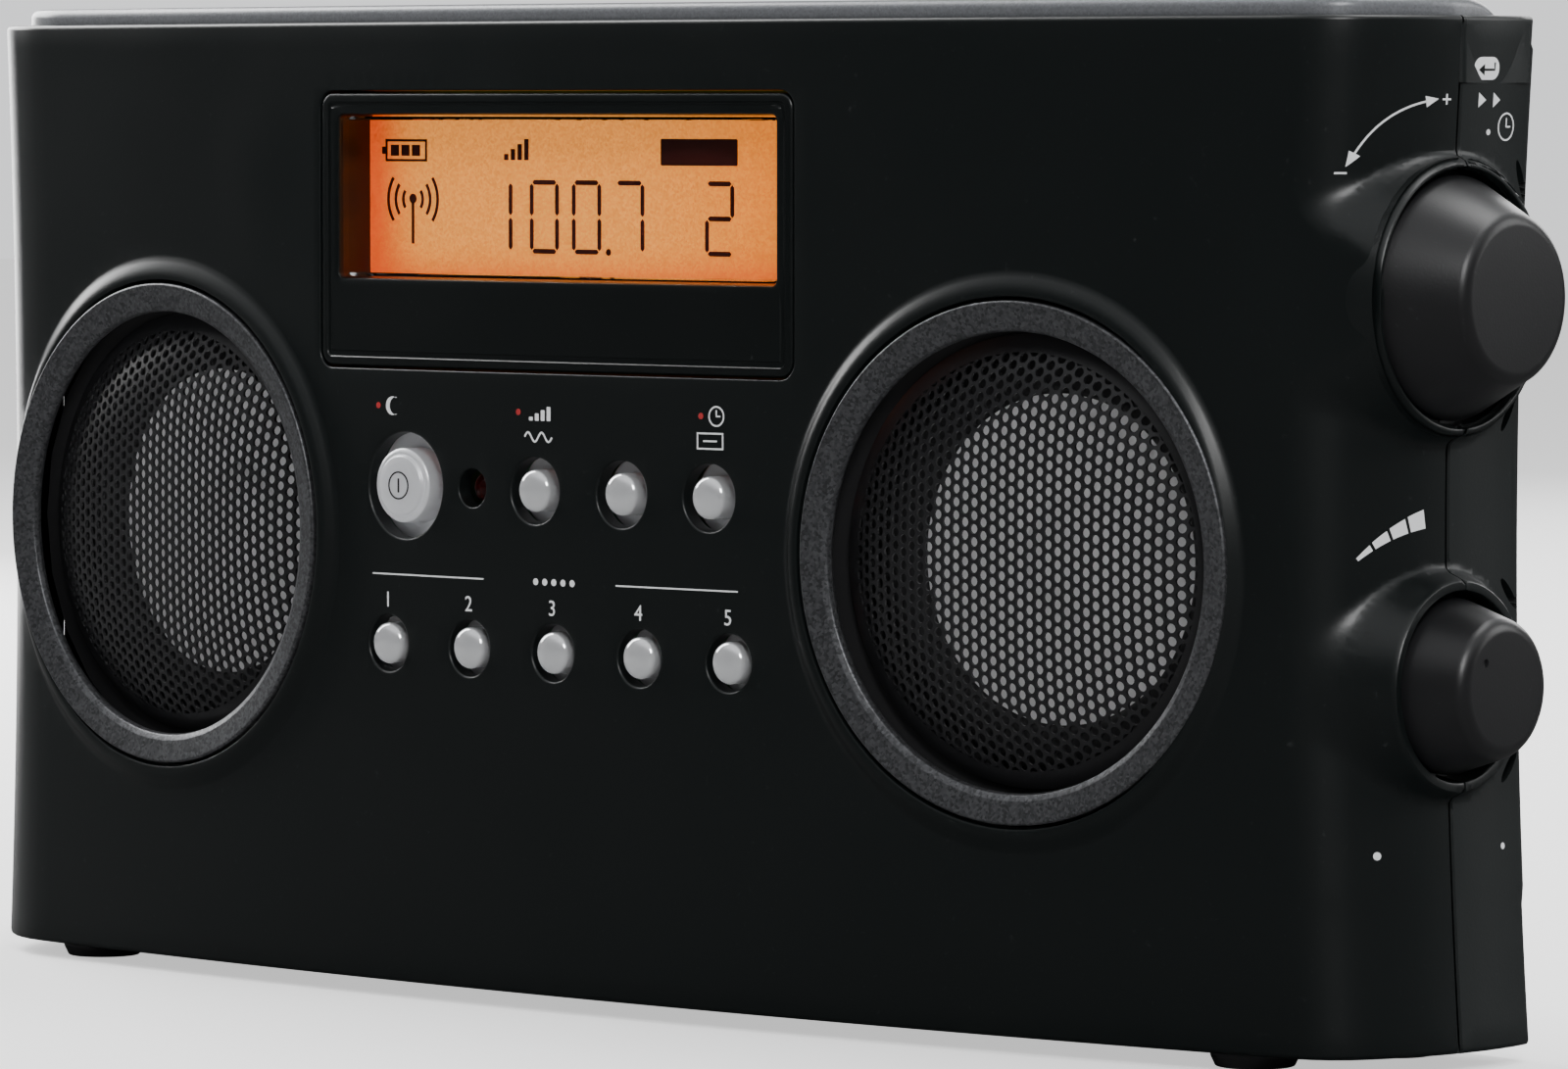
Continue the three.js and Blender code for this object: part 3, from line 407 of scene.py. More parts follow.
class Sheet:
    """A patch of the casing's surface with shaped features, triangulated on (s, v)."""

    def __init__(self, s_low, s_high, v_low=0.0, v_high=CASE_HEIGHT):
        self.span = (s_low, s_high, v_low, v_high)
        self.points = []
        self.loops = []
        self.rules = []
        self.drops = []

    def loop(self, points):
        first = len(self.points)
        self.points += points
        count = len(points)
        self.loops += [(first + i, first + (i + 1) % count) for i in range(count)]

    def round_feature(self, s, v, rings, open_inside, segments=64, depth_of=None):
        """Rings of (radius, depth) from the outside in."""
        for radius, _ in rings:
            turn = [2 * math.pi * (i + 0.5) / segments for i in range(segments)]
            self.loop([(s + radius * math.cos(t), v + radius * math.sin(t)) for t in turn])
        table = sorted(rings)

        def rule(ps, pv):
            away = math.hypot(ps - s, pv - v)
            if away > table[-1][0] + 1e-6:
                return None
            return (depth_of or (lambda d, *_: d))(interpolate(table, max(away, table[0][0])), ps - s, away)

        self.rules.append(rule)
        if open_inside:
            hole = table[0][0]
            self.drops.append(lambda ps, pv: math.hypot(ps - s, pv - v) < hole - 1e-4)

    def box_feature(self, box, rings, open_inside, per_corner=8):
        """Rounded rectangles of (margin, depth) round a box of (low s, high s, low v, high v, corner)."""
        s0, s1, v0, v1, corner = box
        for margin, _ in rings:
            self.loop(rounded_box(s0, s1, v0, v1, corner, margin, per_corner))
        table = sorted(rings)

        def away(ps, pv):
            core = max(corner, 0.01)
            ds = max(s0 + core - ps, ps - s1 + core)
            dv = max(v0 + core - pv, pv - v1 + core)
            if ds > 0 and dv > 0:
                return math.hypot(ds, dv) - core
            return max(ds, dv) - core

        def rule(ps, pv):
            margin = away(ps, pv)
            if margin > table[-1][0] + 1e-5:
                return None
            return interpolate(table, max(margin, table[0][0]))

        self.rules.append(rule)
        if open_inside:
            self.drops.append(lambda ps, pv: away(ps, pv) < table[0][0] - 1e-4)

    def grid(self, s_step, v_step, fine=()):
        """Background points; fine holds (low s, high s, low v, high v, step) areas."""
        s0, s1, v0, v1 = self.span
        columns = spread(s0, s1, s_step)
        rows = [v0, *spread(v0 + EDGE, v1 - EDGE, v_step), v1]
        if v0 <= 0:
            rows = [EDGE * i / 4 for i in range(4)] + rows[1:-1] + [v1 - EDGE * i / 4
                                                                    for i in range(3, -1, -1)]
        blocked = lambda ps, pv: any(rule(ps, pv) is not None for rule in self.rules)
        in_fine = lambda ps, pv: any(a <= ps <= b and c <= pv <= d for a, b, c, d, _ in fine)
        edge_s = (s0, s1)
        for ps in columns:
            for pv in rows:
                on_edge = ps in edge_s or pv in (rows[0], rows[-1])
                if on_edge or not (blocked(ps, pv) or in_fine(ps, pv)):
                    self.points.append((ps, pv))
        for low_s, high_s, low_v, high_v, step in fine:
            for ps in spread(low_s, high_s, step):
                for pv in spread(low_v, high_v, step):
                    if s0 < ps < s1 and v0 < pv < v1 and not blocked(ps, pv):
                        self.points.append((ps, pv))
        self.columns, self.rows = columns, rows

    def build(self, place):
        """Triangulates, drops what is open, and returns vertices and faces."""
        s0, s1, v0, v1 = self.span
        outline = [(s0, v0), (s1, v0), (s1, v1), (s0, v1)]
        first = len(self.points)
        points = [Vector(p) for p in self.points + outline]
        edges = self.loops + [(first + i, first + (i + 1) % 4) for i in range(4)]
        found, _, faces, *_ = delaunay_2d_cdt(points, edges, [], 0, 1e-5)
        kept = []
        for face in faces:
            cs = sum(found[i].x for i in face) / len(face)
            cv = sum(found[i].y for i in face) / len(face)
            if not (s0 <= cs <= s1 and v0 <= cv <= v1):
                continue
            if not any(drop(cs, cv) for drop in self.drops):
                kept.append(face)
        places = []
        for p in found:
            depths = [d for d in (rule(p.x, p.y) for rule in self.rules) if d is not None]
            places.append(place(p.x, p.y, depths[0] if depths else 0.0))
        return places, kept


def spread(low, high, step):
    count = max(1, round((high - low) / step))
    return [low + (high - low) * i / count for i in range(count + 1)]


def rounded_box(x0, x1, y0, y1, corner, margin=0.0, per_corner=8):
    """Outline of a rounded rectangle grown by a margin, with points along its straight sides too."""
    radius = max(corner + margin, 0.02)
    x0, x1, y0, y1 = x0 - margin, x1 + margin, y0 - margin, y1 + margin
    centres = [(x1 - radius, y0 + radius, -90), (x1 - radius, y1 - radius, 0),
               (x0 + radius, y1 - radius, 90), (x0 + radius, y0 + radius, 180)]
    points = []
    for cx, cy, start in centres:
        for i in range(per_corner + 1):
            turn = math.radians(start + 90 * i / per_corner)
            points.append((cx + radius * math.cos(turn), cy + radius * math.sin(turn)))
    dense = []
    for a, b in zip(points, points[1:] + points[:1]):
        count = max(1, int(math.dist(a, b) / 3.0))
        dense += [(a[0] + (b[0] - a[0]) * i / count, a[1] + (b[1] - a[1]) * i / count) for i in range(count)]
    return dense


def lip(size, edge, wall_depth, draft=0.08):
    """Rings of a hole of that size with a rounded edge and a wall going in."""
    rings = []
    for i in range(5):
        turn = math.pi / 2 * i / 4
        rings.append((size + edge * (1 - math.sin(turn)) + draft, edge * (1 - math.cos(turn))))
    return rings + [(size, wall_depth)]


# ---- Meshes ----


def new_piece(name, vertices, faces, metres=False):
    """A mesh object from layout places and faces."""
    mesh = bpy.data.meshes.new(name)
    mesh.from_pydata([v if metres else at(*v) for v in vertices], [], faces)
    mesh.validate()
    return new_object(name, mesh)


def new_object(name, data):
    """Puts a mesh, light or camera into the scene."""
    obj = bpy.data.objects.new(name, data)
    bpy.context.scene.collection.objects.link(obj)
    return obj


def from_bmesh(name, body):
    mesh = bpy.data.meshes.new(name)
    body.to_mesh(mesh)
    body.free()
    return new_object(name, mesh)


def discard(obj):
    """Removes an object and its mesh."""
    mesh = obj.data
    bpy.data.objects.remove(obj)
    bpy.data.meshes.remove(mesh)


def tidy_mesh(obj, merge=1e-6, angle=32, turn_out=True):
    """Merges doubles, turns faces out, and shades smooth except over sharp edges."""
    body = bmesh.new()
    body.from_mesh(obj.data)
    bmesh.ops.remove_doubles(body, verts=body.verts, dist=merge)
    bmesh.ops.dissolve_degenerate(body, dist=1e-7, edges=body.edges)
    if turn_out:
        bmesh.ops.recalc_face_normals(body, faces=body.faces)
    body.to_mesh(obj.data)
    body.free()
    obj.data.polygons.foreach_set("use_smooth", [True] * len(obj.data.polygons))
    obj.data.set_sharp_from_angle(angle=math.radians(angle))
    return obj


def apply_modifiers(obj):
    """Replaces an object's mesh by what its modifiers make, and removes them."""
    graph = bpy.context.evaluated_depsgraph_get()
    made = bpy.data.meshes.new_from_object(obj.evaluated_get(graph), depsgraph=graph)
    obj.modifiers.clear()
    old, obj.data = obj.data, made
    bpy.data.meshes.remove(old)
    return obj


def thicken(obj, thickness):
    """Gives an open sheet a wall inwards and closes it."""
    wall = obj.modifiers.new("Wall", "SOLIDIFY")
    wall.thickness = thickness / 1000
    wall.offset = -1
    wall.use_even_offset = False
    return apply_modifiers(obj)


def join(name, *objects):
    """One object from several."""
    body = bmesh.new()
    for obj in objects:
        body.from_mesh(obj.data)
    for obj in objects:
        discard(obj)
    return from_bmesh(name, body)


def cut_out(obj, tools):
    """Cuts closed tool pieces out of a piece, and removes them."""
    for tool in tools:
        cutting = obj.modifiers.new("Cut", "BOOLEAN")
        cutting.operation = "DIFFERENCE"
        cutting.solver = "EXACT"
        cutting.object = tool
    apply_modifiers(obj)
    for tool in tools:
        discard(tool)
    tidy_mesh(obj, merge=1e-8)


def rounded_profile(corners, steps=5):
    """A profile of (radius, along, rounding) corners with each rounded corner as an arc."""
    result = []
    for i, (r, h, rounding) in enumerate(corners):
        if rounding <= 0 or i in (0, len(corners) - 1):
            result.append((r, h))
            continue
        here = Vector((r, h))
        back = Vector(corners[i - 1][:2]) - here
        ahead = Vector(corners[i + 1][:2]) - here
        half = back.angle(ahead) / 2
        reach = min(rounding / math.tan(half), back.length * 0.49, ahead.length * 0.49)
        start, end = here + back.normalized() * reach, here + ahead.normalized() * reach
        radius = reach * math.tan(half)
        centre = here + (back.normalized() + ahead.normalized()).normalized() * (radius / math.sin(half))
        for k in range(steps + 1):
            t = k / steps
            chord = start.lerp(end, t) - centre
            result.append(tuple(centre + chord.normalized() * radius))
    return result


def lathe(name, profile, segments, place):
    """A closed turned piece. place(across_1, across_2, along) gives a layout place."""
    closed = profile[0][0] > 1e-6
    vertices, rings = [], []
    for radius, along in profile:
        if radius < 1e-6:
            rings.append([len(vertices)])
            vertices.append(place(0, 0, along))
            continue
        rings.append(list(range(len(vertices), len(vertices) + segments)))
        for i in range(segments):
            turn = 2 * math.pi * i / segments
            vertices.append(place(radius * math.cos(turn), radius * math.sin(turn), along))
    pairs = list(zip(rings, rings[1:]))
    if closed:
        pairs.append((rings[-1], rings[0]))
    faces = []
    for a, b in pairs:
        for i in range(segments):
            j = (i + 1) % segments
            if len(a) == 1:
                faces.append((a[0], b[j], b[i]))
            elif len(b) == 1:
                faces.append((a[i], a[j], b[0]))
            else:
                faces.append((a[i], a[j], b[j], b[i]))
    return tidy_mesh(new_piece(name, vertices, faces), merge=1e-8)


def along_x(y, z):
    return lambda a, b, h: (h, y + a, z + b)


def along_y(x, z, face=0.0):
    return lambda a, b, h: (x + a, face + h, z + b)


def along_z(x, y):
    return lambda a, b, h: (x + a, y + b, h)


def speaker_place(side):
    """Places in a speaker's tilted frame: across, up, and into the casing."""
    x = side * SPEAKER_X
    tilt = math.asin(x / BOW_RADIUS)
    return lambda a, b, h: (
        x + a * math.cos(tilt) - h * math.sin(tilt),
        bow(x) + a * math.sin(tilt) + h * math.cos(tilt),
        SPEAKER_Z + b,
    )


def prism(name, outline, place, low, high):
    """A closed flat plate: an outline of (a, b) points between two heights."""
    count = len(outline)
    vertices = [place(a, b, low) for a, b in outline] + [place(a, b, high) for a, b in outline]
    faces = [tuple(range(count)), tuple(range(2 * count - 1, count - 1, -1))]
    faces += [(i, (i + 1) % count, count + (i + 1) % count, count + i) for i in range(count)]
    return tidy_mesh(new_piece(name, vertices, faces), merge=1e-8)


def dress(obj, material, body, slot, *nodes):
    """Gives a finished piece its material, its body, its slot and the CAD nodes it stands for."""
    obj.data.materials.clear()
    obj.data.materials.append(material)
    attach(obj, body)
    if nodes:
        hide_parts(*nodes)
    return obj


# ---- Shader groups and materials ----


def new_group(name, inputs, outputs):
    group = bpy.data.node_groups.new(name, "ShaderNodeTree")
    for title, kind, value in inputs:
        socket = group.interface.new_socket(title, in_out="INPUT", socket_type=kind)
        if value is not None:
            socket.default_value = value
    for title, kind in outputs:
        group.interface.new_socket(title, in_out="OUTPUT", socket_type=kind)
    return group, group.nodes.new("NodeGroupInput"), group.nodes.new("NodeGroupOutput")


def link(tree, source, target):
    tree.links.new(source, target)


def node(tree, kind, **values):
    made = tree.nodes.new(kind)
    for key, value in values.items():
        setattr(made, key, value)
    return made


def mixed(tree, factor, a, b, kind="RGBA"):
    """A Mix node; a and b are sockets or values."""
    made = tree.nodes.new("ShaderNodeMix")
    made.data_type = kind
    first, second = (6, 7) if kind == "RGBA" else (2, 3)
    if kind == "RGBA":
        a, b = (tuple(v) + (1,) if isinstance(v, (tuple, list)) and len(v) == 3 else v for v in (a, b))
    for index, value in ((0, factor), (first, a), (second, b)):
        if hasattr(value, "is_output"):
            link(tree, value, made.inputs[index])
        else:
            made.inputs[index].default_value = value
    return made.outputs[2 if kind == "RGBA" else 0]


def grain_group():
    """Moulded grain: a fine pebble for bump, and a slow drift of tone."""
    name = "moulded_grain"
    if name in bpy.data.node_groups:
        return bpy.data.node_groups[name]
    group, source, sink = new_group(
        name,
        [("Scale", "NodeSocketFloat", 2200.0), ("Drift", "NodeSocketFloat", 14.0)],
        [("Height", "NodeSocketFloat"), ("Tone", "NodeSocketFloat")])
    coordinates = node(group, "ShaderNodeTexCoord")
    pebble = node(group, "ShaderNodeTexNoise")
    pebble.inputs["Detail"].default_value = 2.0
    pebble.inputs["Roughness"].default_value = 0.6
    slow = node(group, "ShaderNodeTexNoise")
    slow.inputs["Detail"].default_value = 3.0
    for noise, title in ((pebble, "Scale"), (slow, "Drift")):
        link(group, coordinates.outputs["Object"], noise.inputs["Vector"])
        link(group, source.outputs[title], noise.inputs["Scale"])
    link(group, pebble.outputs["Fac"], sink.inputs["Height"])
    link(group, slow.outputs["Fac"], sink.inputs["Tone"])
    return group


def flake_group():
    """Metallic flakes: bright specks of a cell pattern."""
    name = "metal_flake"
    if name in bpy.data.node_groups:
        return bpy.data.node_groups[name]
    group, source, sink = new_group(
        name, [("Scale", "NodeSocketFloat", 2600.0)],
        [("Speck", "NodeSocketFloat"), ("Height", "NodeSocketFloat")])
    coordinates = node(group, "ShaderNodeTexCoord")
    cells = node(group, "ShaderNodeTexVoronoi")
    link(group, coordinates.outputs["Object"], cells.inputs["Vector"])
    link(group, source.outputs["Scale"], cells.inputs["Scale"])
    split = node(group, "ShaderNodeSeparateColor")
    link(group, cells.outputs["Color"], split.inputs["Color"])
    link(group, split.outputs["Red"], sink.inputs["Speck"])
    link(group, split.outputs["Green"], sink.inputs["Height"])
    return group


def wear_group():
    """Handling wear: smudges that change the gloss, and a trace of dust."""
    name = "handling_wear"
    if name in bpy.data.node_groups:
        return bpy.data.node_groups[name]
    group, source, sink = new_group(
        name, [("Smudge Scale", "NodeSocketFloat", 35.0), ("Dust Scale", "NodeSocketFloat", 900.0)],
        [("Smudge", "NodeSocketFloat"), ("Dust", "NodeSocketFloat")])
    coordinates = node(group, "ShaderNodeTexCoord")
    smudge = node(group, "ShaderNodeTexNoise")
    smudge.inputs["Detail"].default_value = 4.0
    smudge.inputs["Distortion"].default_value = 0.6
    dust = node(group, "ShaderNodeTexNoise")
    dust.inputs["Detail"].default_value = 5.0
    for noise, title in ((smudge, "Smudge Scale"), (dust, "Dust Scale")):
        link(group, coordinates.outputs["Object"], noise.inputs["Vector"])
        link(group, source.outputs[title], noise.inputs["Scale"])
    specks = node(group, "ShaderNodeMapRange")
    specks.inputs["From Min"].default_value = 0.66
    specks.inputs["From Max"].default_value = 0.80
    link(group, dust.outputs["Fac"], specks.inputs["Value"])
    link(group, smudge.outputs["Fac"], sink.inputs["Smudge"])
    link(group, specks.outputs["Result"], sink.inputs["Dust"])
    return group


def place_group(tree, group, **values):
    made = tree.nodes.new("ShaderNodeGroup")
    made.node_tree = group
    for title, value in values.items():
        made.inputs[title.replace("_", " ")].default_value = value
    return made


def new_material(name):
    material = bpy.data.materials.new(name)
    material.use_nodes = True
    tree = material.node_tree
    return material, tree, tree.nodes["Principled BSDF"]


def bump(tree, shader, height, strength, distance):
    made = node(tree, "ShaderNodeBump")
    made.inputs["Strength"].default_value = strength
    made.inputs["Distance"].default_value = distance
    link(tree, height, made.inputs["Height"])
    link(tree, made.outputs["Normal"], shader.inputs["Normal"])


def moulded(name, colour, rough, grain=2200.0, strength=0.25, lighter=1.25, specular=0.5):
    """Moulded plastic: fine grain, slow tone drift, smudges in the gloss, a trace of dust."""
    material, tree, shader = new_material(name)
    pebble = place_group(tree, grain_group(), Scale=grain)
    wear = place_group(tree, wear_group())
    tone = mixed(tree, pebble.outputs["Tone"], tuple(colour), tuple(c * lighter for c in colour))
    dusty = node(tree, "ShaderNodeMath", operation="MULTIPLY")
    dusty.inputs[1].default_value = 0.05
    link(tree, wear.outputs["Dust"], dusty.inputs[0])
    link(tree, mixed(tree, dusty.outputs[0], tone, (0.32, 0.32, 0.33)), shader.inputs["Base Color"])
    link(tree, mixed(tree, wear.outputs["Smudge"], rough - 0.05, rough + 0.06, "FLOAT"),
         shader.inputs["Roughness"])
    shader.inputs["Specular IOR Level"].default_value = specular
    bump(tree, shader, pebble.outputs["Height"], strength, 0.00004)
    return material


def painted_metal(name, colour, rough, flakes=2600.0, sparkle=2.4, metallic=0.75, coat=0.2):
    """Metallic paint: flakes of brighter tone under a thin coat."""
    material, tree, shader = new_material(name)
    flake = place_group(tree, flake_group(), Scale=flakes)
    wear = place_group(tree, wear_group(), Smudge_Scale=50.0)
    bright = tuple(min(c * sparkle, 1) for c in colour)
    link(tree, mixed(tree, flake.outputs["Speck"], tuple(colour), bright), shader.inputs["Base Color"])
    link(tree, mixed(tree, wear.outputs["Smudge"], rough - 0.05, rough + 0.06, "FLOAT"),
         shader.inputs["Roughness"])
    shader.inputs["Metallic"].default_value = metallic
    shader.inputs["Coat Weight"].default_value = coat
    shader.inputs["Coat Roughness"].default_value = 0.3
    bump(tree, shader, flake.outputs["Height"], 0.12, 0.00003)
    return material


def ramp(tree, socket, start, end):
    """A smooth step from 0 to 1 between two values of a socket."""
    made = node(tree, "ShaderNodeMapRange", interpolation_type="SMOOTHSTEP")
    made.inputs["From Min"].default_value = start
    made.inputs["From Max"].default_value = end
    link(tree, socket, made.inputs["Value"])
    return made.outputs["Result"]


def object_place(tree):
    """The separate coordinates of a place on the piece."""
    split = node(tree, "ShaderNodeSeparateXYZ")
    link(tree, node(tree, "ShaderNodeTexCoord").outputs["Object"], split.inputs["Vector"])
    return split


def polished(name, colour, rough, brush=0.0, metallic=1.0):
    """Plated or polished metal with faint smudges and, if brushed, fine lines."""
    material, tree, shader = new_material(name)
    wear = place_group(tree, wear_group(), Smudge_Scale=160.0)
    grain = place_group(tree, grain_group(), Scale=3500.0, Drift=90.0)
    darker = tuple(c * 0.9 for c in colour)
    link(tree, mixed(tree, grain.outputs["Tone"], tuple(colour), darker), shader.inputs["Base Color"])
    link(tree, mixed(tree, wear.outputs["Smudge"], max(rough - 0.03, 0.02), rough + 0.05, "FLOAT"),
         shader.inputs["Roughness"])
    shader.inputs["Metallic"].default_value = metallic
    bump(tree, shader, grain.outputs["Height"], 0.05 + brush, 0.00002)
    return material


def clear_window():
    material, tree, shader = new_material("clear_window")
    shader.inputs["Base Color"].default_value = (1, 1, 1, 1)
    wear = place_group(tree, wear_group(), Smudge_Scale=60.0)
    link(tree, mixed(tree, wear.outputs["Smudge"], 0.01, 0.05, "FLOAT"), shader.inputs["Roughness"])
    shader.inputs["Transmission Weight"].default_value = 1.0
    shader.inputs["IOR"].default_value = 1.12
    return material


def display_glow(colour):
    """Lit amber cell: brighter left of the middle, redder along its edges, with a fine grain."""
    material, tree, shader = new_material("display_glow")
    split = object_place(tree)
    low, high = layout("lcd_module")
    left, right = at(low.x, 0, 0).x, at(high.x, 0, 0).x
    bottom, top = at(0, 0, low.z).z, at(0, 0, high.z).z

    span = right - left
    height = top - bottom
    from_left = ramp(tree, split.outputs["X"], left + 0.002, left + span * 0.16)
    from_right = ramp(tree, split.outputs["X"], right + span * 0.02, right - span * 0.45)
    from_low = ramp(tree, split.outputs["Z"], bottom - height * 0.05, bottom + height * 0.30)
    product = node(tree, "ShaderNodeMath", operation="MULTIPLY")
    link(tree, from_left, product.inputs[0])
    link(tree, from_low, product.inputs[1])
    speck = place_group(tree, flake_group(), Scale=2600.0)
    deep = (colour[0] * 0.85, colour[1] * 0.36, colour[2] * 0.5)
    pale = (colour[0], colour[1] * 1.35, colour[2] * 3.5)
    glow = mixed(tree, product.outputs[0], deep, tuple(colour))
    lit = mixed(tree, from_right, glow, pale)
    blend = mixed(tree, product.outputs[0], glow, lit)
    grain = mixed(tree, speck.outputs["Speck"], (0.80, 0.78, 0.72), (1.08, 1.08, 1.08))
    multiply = node(tree, "ShaderNodeMix", data_type="RGBA", blend_type="MULTIPLY")
    multiply.inputs[0].default_value = 1.0
    link(tree, blend, multiply.inputs[6])
    link(tree, grain, multiply.inputs[7])
    link(tree, multiply.outputs[2], shader.inputs["Emission Color"])
    link(tree, multiply.outputs[2], shader.inputs["Base Color"])
    shader.inputs["Emission Strength"].default_value = 1.0
    shader.inputs["Roughness"].default_value = 0.5
    return material


def make_materials():
    colours = bpy.context.scene.radio_colours
    case = tuple(colours.case)
    return {
        "case": moulded("case_black", case, 0.34, strength=0.22),
        "rear": moulded("case_rear_black", tuple(c * 1.35 for c in case), 0.40, strength=0.34),
        "panel": moulded("panel_black", tuple(c * 0.8 for c in case), 0.30, grain=3200.0, strength=0.10),
        "knob": moulded("knob_black", tuple(colours.knob), 0.36, grain=2600.0, strength=0.32),
        "handle": painted_metal("handle_grey", tuple(colours.handle), 0.36, 3000.0, 1.35, 0.25, 0.25),
        "ring": painted_metal("ring_gunmetal", tuple(colours.ring), 0.42, 2300.0, 2.6, 0.7, 0.1),
        "grille": moulded("grille_black", (0.011, 0.011, 0.012), 0.34, grain=4000.0, strength=0.08,
                          specular=0.6),
        "cone": moulded("cone_grey", (0.74, 0.74, 0.75), 0.62, grain=900.0, strength=0.5, lighter=1.15),
        "surround": moulded("cone_surround", (0.016, 0.016, 0.017), 0.7, grain=1500.0, strength=0.3),
        "chrome": polished("key_chrome", (0.95, 0.96, 0.98), 0.12, metallic=0.62),
        "silver": polished("key_silver", (0.93, 0.94, 0.97), 0.34, 0.08, 0.5),
        "steel": polished("plated_steel", (0.62, 0.62, 0.64), 0.25, brush=0.06),
        "aerial": polished("aerial_chrome", (0.82, 0.83, 0.85), 0.10),
        "inner": moulded("inner_black", (0.014, 0.014, 0.015), 0.55),
        "board": moulded("board_green", (0.012, 0.10, 0.035), 0.4, grain=1200.0, strength=0.15),
        "ferrite": moulded("ferrite_grey", (0.045, 0.044, 0.046), 0.65, grain=1800.0, strength=0.4),
        "cell": painted_metal("cell_jacket", (0.06, 0.18, 0.36), 0.35, 1800.0, 1.3, 0.3, 0.4),
        "rubber": moulded("foot_rubber", (0.014, 0.014, 0.015), 0.82, grain=1300.0, strength=0.5),
        "lamp": moulded("lamp_red", (0.02, 0.0008, 0.0008), 0.15, grain=2500.0, strength=0.03),
        "marks": moulded("mark_white", tuple(colours.marks), 0.55, grain=2500.0, strength=0.1, lighter=0.94),
        "red_marks": moulded("mark_red", (0.36, 0.012, 0.014), 0.5, grain=2500.0, strength=0.1),
        "segments": moulded("display_segments", (0.11, 0.012, 0.008), 0.5, grain=2500.0, strength=0.05),
        "window": clear_window(),
        "glow": display_glow(tuple(colours.glow)),
    }


MATERIALS = {}


# ---- Casing ----


def bezel_depth(depth, across, away):
    """Brings the raised bezel into one plane, though the face it stands on is bowed."""
    return depth - (1 - smooth((away - 41.6) / 2.6)) * across * across / (2 * BOW_RADIUS)


def handle_outlines(margin):
    """Plan outline of the handle's band grown by a margin."""
    width, inset, left = HANDLE["width"], HANDLE["inset"], HANDLE["left"]
    outer_right = right_half(inset - margin)
    inner_right = right_half(inset + width + margin)
    outer_left = left_half(inset - margin, left - margin)
    inner_left = left_half(inset + width + margin, left + width + margin)
    trim = lambda points, depth: [p for p in points[::3] if p[1] < depth]
    return trim, outer_left, outer_right, inner_right, inner_left


def channel_loop(margin, depth):
    """Closed outline of the handle's channel ahead of a depth."""
    trim, outer_left, outer_right, inner_right, inner_left = handle_outlines(margin)
    loop = trim(outer_left, depth)[::-1] + trim(outer_right, depth)[1:]
    loop += trim(inner_right, depth)[::-1] + trim(inner_left, depth)[1:]
    return loop


def inside_loop(loop, x, y):
    """Whether a place is inside a closed outline."""
    inside = False
    for (x0, y0), (x1, y1) in zip(loop, loop[1:] + loop[:1]):
        if (y0 > y) != (y1 > y) and x < (x1 - x0) * (y - y0) / (y1 - y0) + x0:
            inside = not inside
    return inside


def cap(boundary, loops, heights, level):
    """A flat cap inside a boundary; each loop encloses ground at its own height."""
    points = [Vector(p) for p in boundary]
    edges = [(i, (i + 1) % len(boundary)) for i in range(len(boundary))]
    for loop in loops:
        first = len(points)
        points += [Vector(p) for p in loop]
        edges += [(first + i, first + (i + 1) % len(loop)) for i in range(len(loop))]
    found, _, faces, *_ = delaunay_2d_cdt(points, edges, [], 0, 1e-5)
    kept = [f for f in faces
            if inside_loop(boundary, *(sum(found[i][k] for i in f) / len(f) for k in (0, 1)))]
    places = []
    for p in found:
        z = level
        for loop, height in zip(loops, heights):
            near = min(math.dist(p, q) for q in loop) < 1e-3
            if height is not None and (near or inside_loop(loop, p.x, p.y)):
                z = height
        places.append((p.x, p.y, z))
    return places, kept


def case_cap(sheet, place, bottom, closing, loops=(), heights=()):
    """The top or bottom face that closes a wrapped sheet, between its end columns."""
    v = sheet.span[2] if bottom else sheet.span[3]
    row = [place(s, v, 0.0) for s in sheet.columns]
    boundary = [(p.x, p.y) for p in row] + closing
    return cap(boundary, loops, heights, row[0].z)


def front_shell():
    sheet = Sheet(SEAM_LEFT - PLAN.length + SEAM_GAP, SEAM_RIGHT - SEAM_GAP)
    bezel = [(44.6, 0.0), (44.1, -0.06), (43.3, -0.42), (42.5, -0.78), (41.8, -1.0), (41.2, -1.12),
             (40.75, -1.12), (40.5, -1.0), (40.4, -0.8), (40.28, 1.6)]
    for side in (-1, 1):
        sheet.round_feature(front_along(side * SPEAKER_X), SPEAKER_Z, bezel, True, 128, bezel_depth)
    for x in PRESETS:
        sheet.round_feature(front_along(x), PRESET_Z, lip(4.5, 0.45, 2.6), True, 40)
    for x in FUNCTIONS:
        sheet.round_feature(front_along(x), KEY_Z, lip(5.25, 0.45, 2.6), True, 44)
    sheet.round_feature(front_along(POWER_X), KEY_Z, lip(8.5, 0.5, 2.6), True, 64)
    sheet.round_feature(front_along(LED_X), KEY_Z, lip(3.0, 0.35, 2.6), True, 32)
    x0, x1, z0, z1, corner = PANEL
    sheet.box_feature((x0, x1, z0, z1, corner), lip(0.28, 0.35, 4.5), True)
    boss_rings(sheet, ahead=True)
    corner_s = front_along(RIGHT_CORNER[0])
    sheet.grid(3.2, 3.2, fine=[(corner_s - 14, sheet.span[1], 24, 150, 0.95)])
    groove = bpy.context.scene.radio_sizes.seam_groove * 1000
    seam_rows(sheet, groove)
    finish_shell(sheet, "front_shell_skin", groove, True)
    return finish_dressed("front_shell_skin", "case", "front_shell")


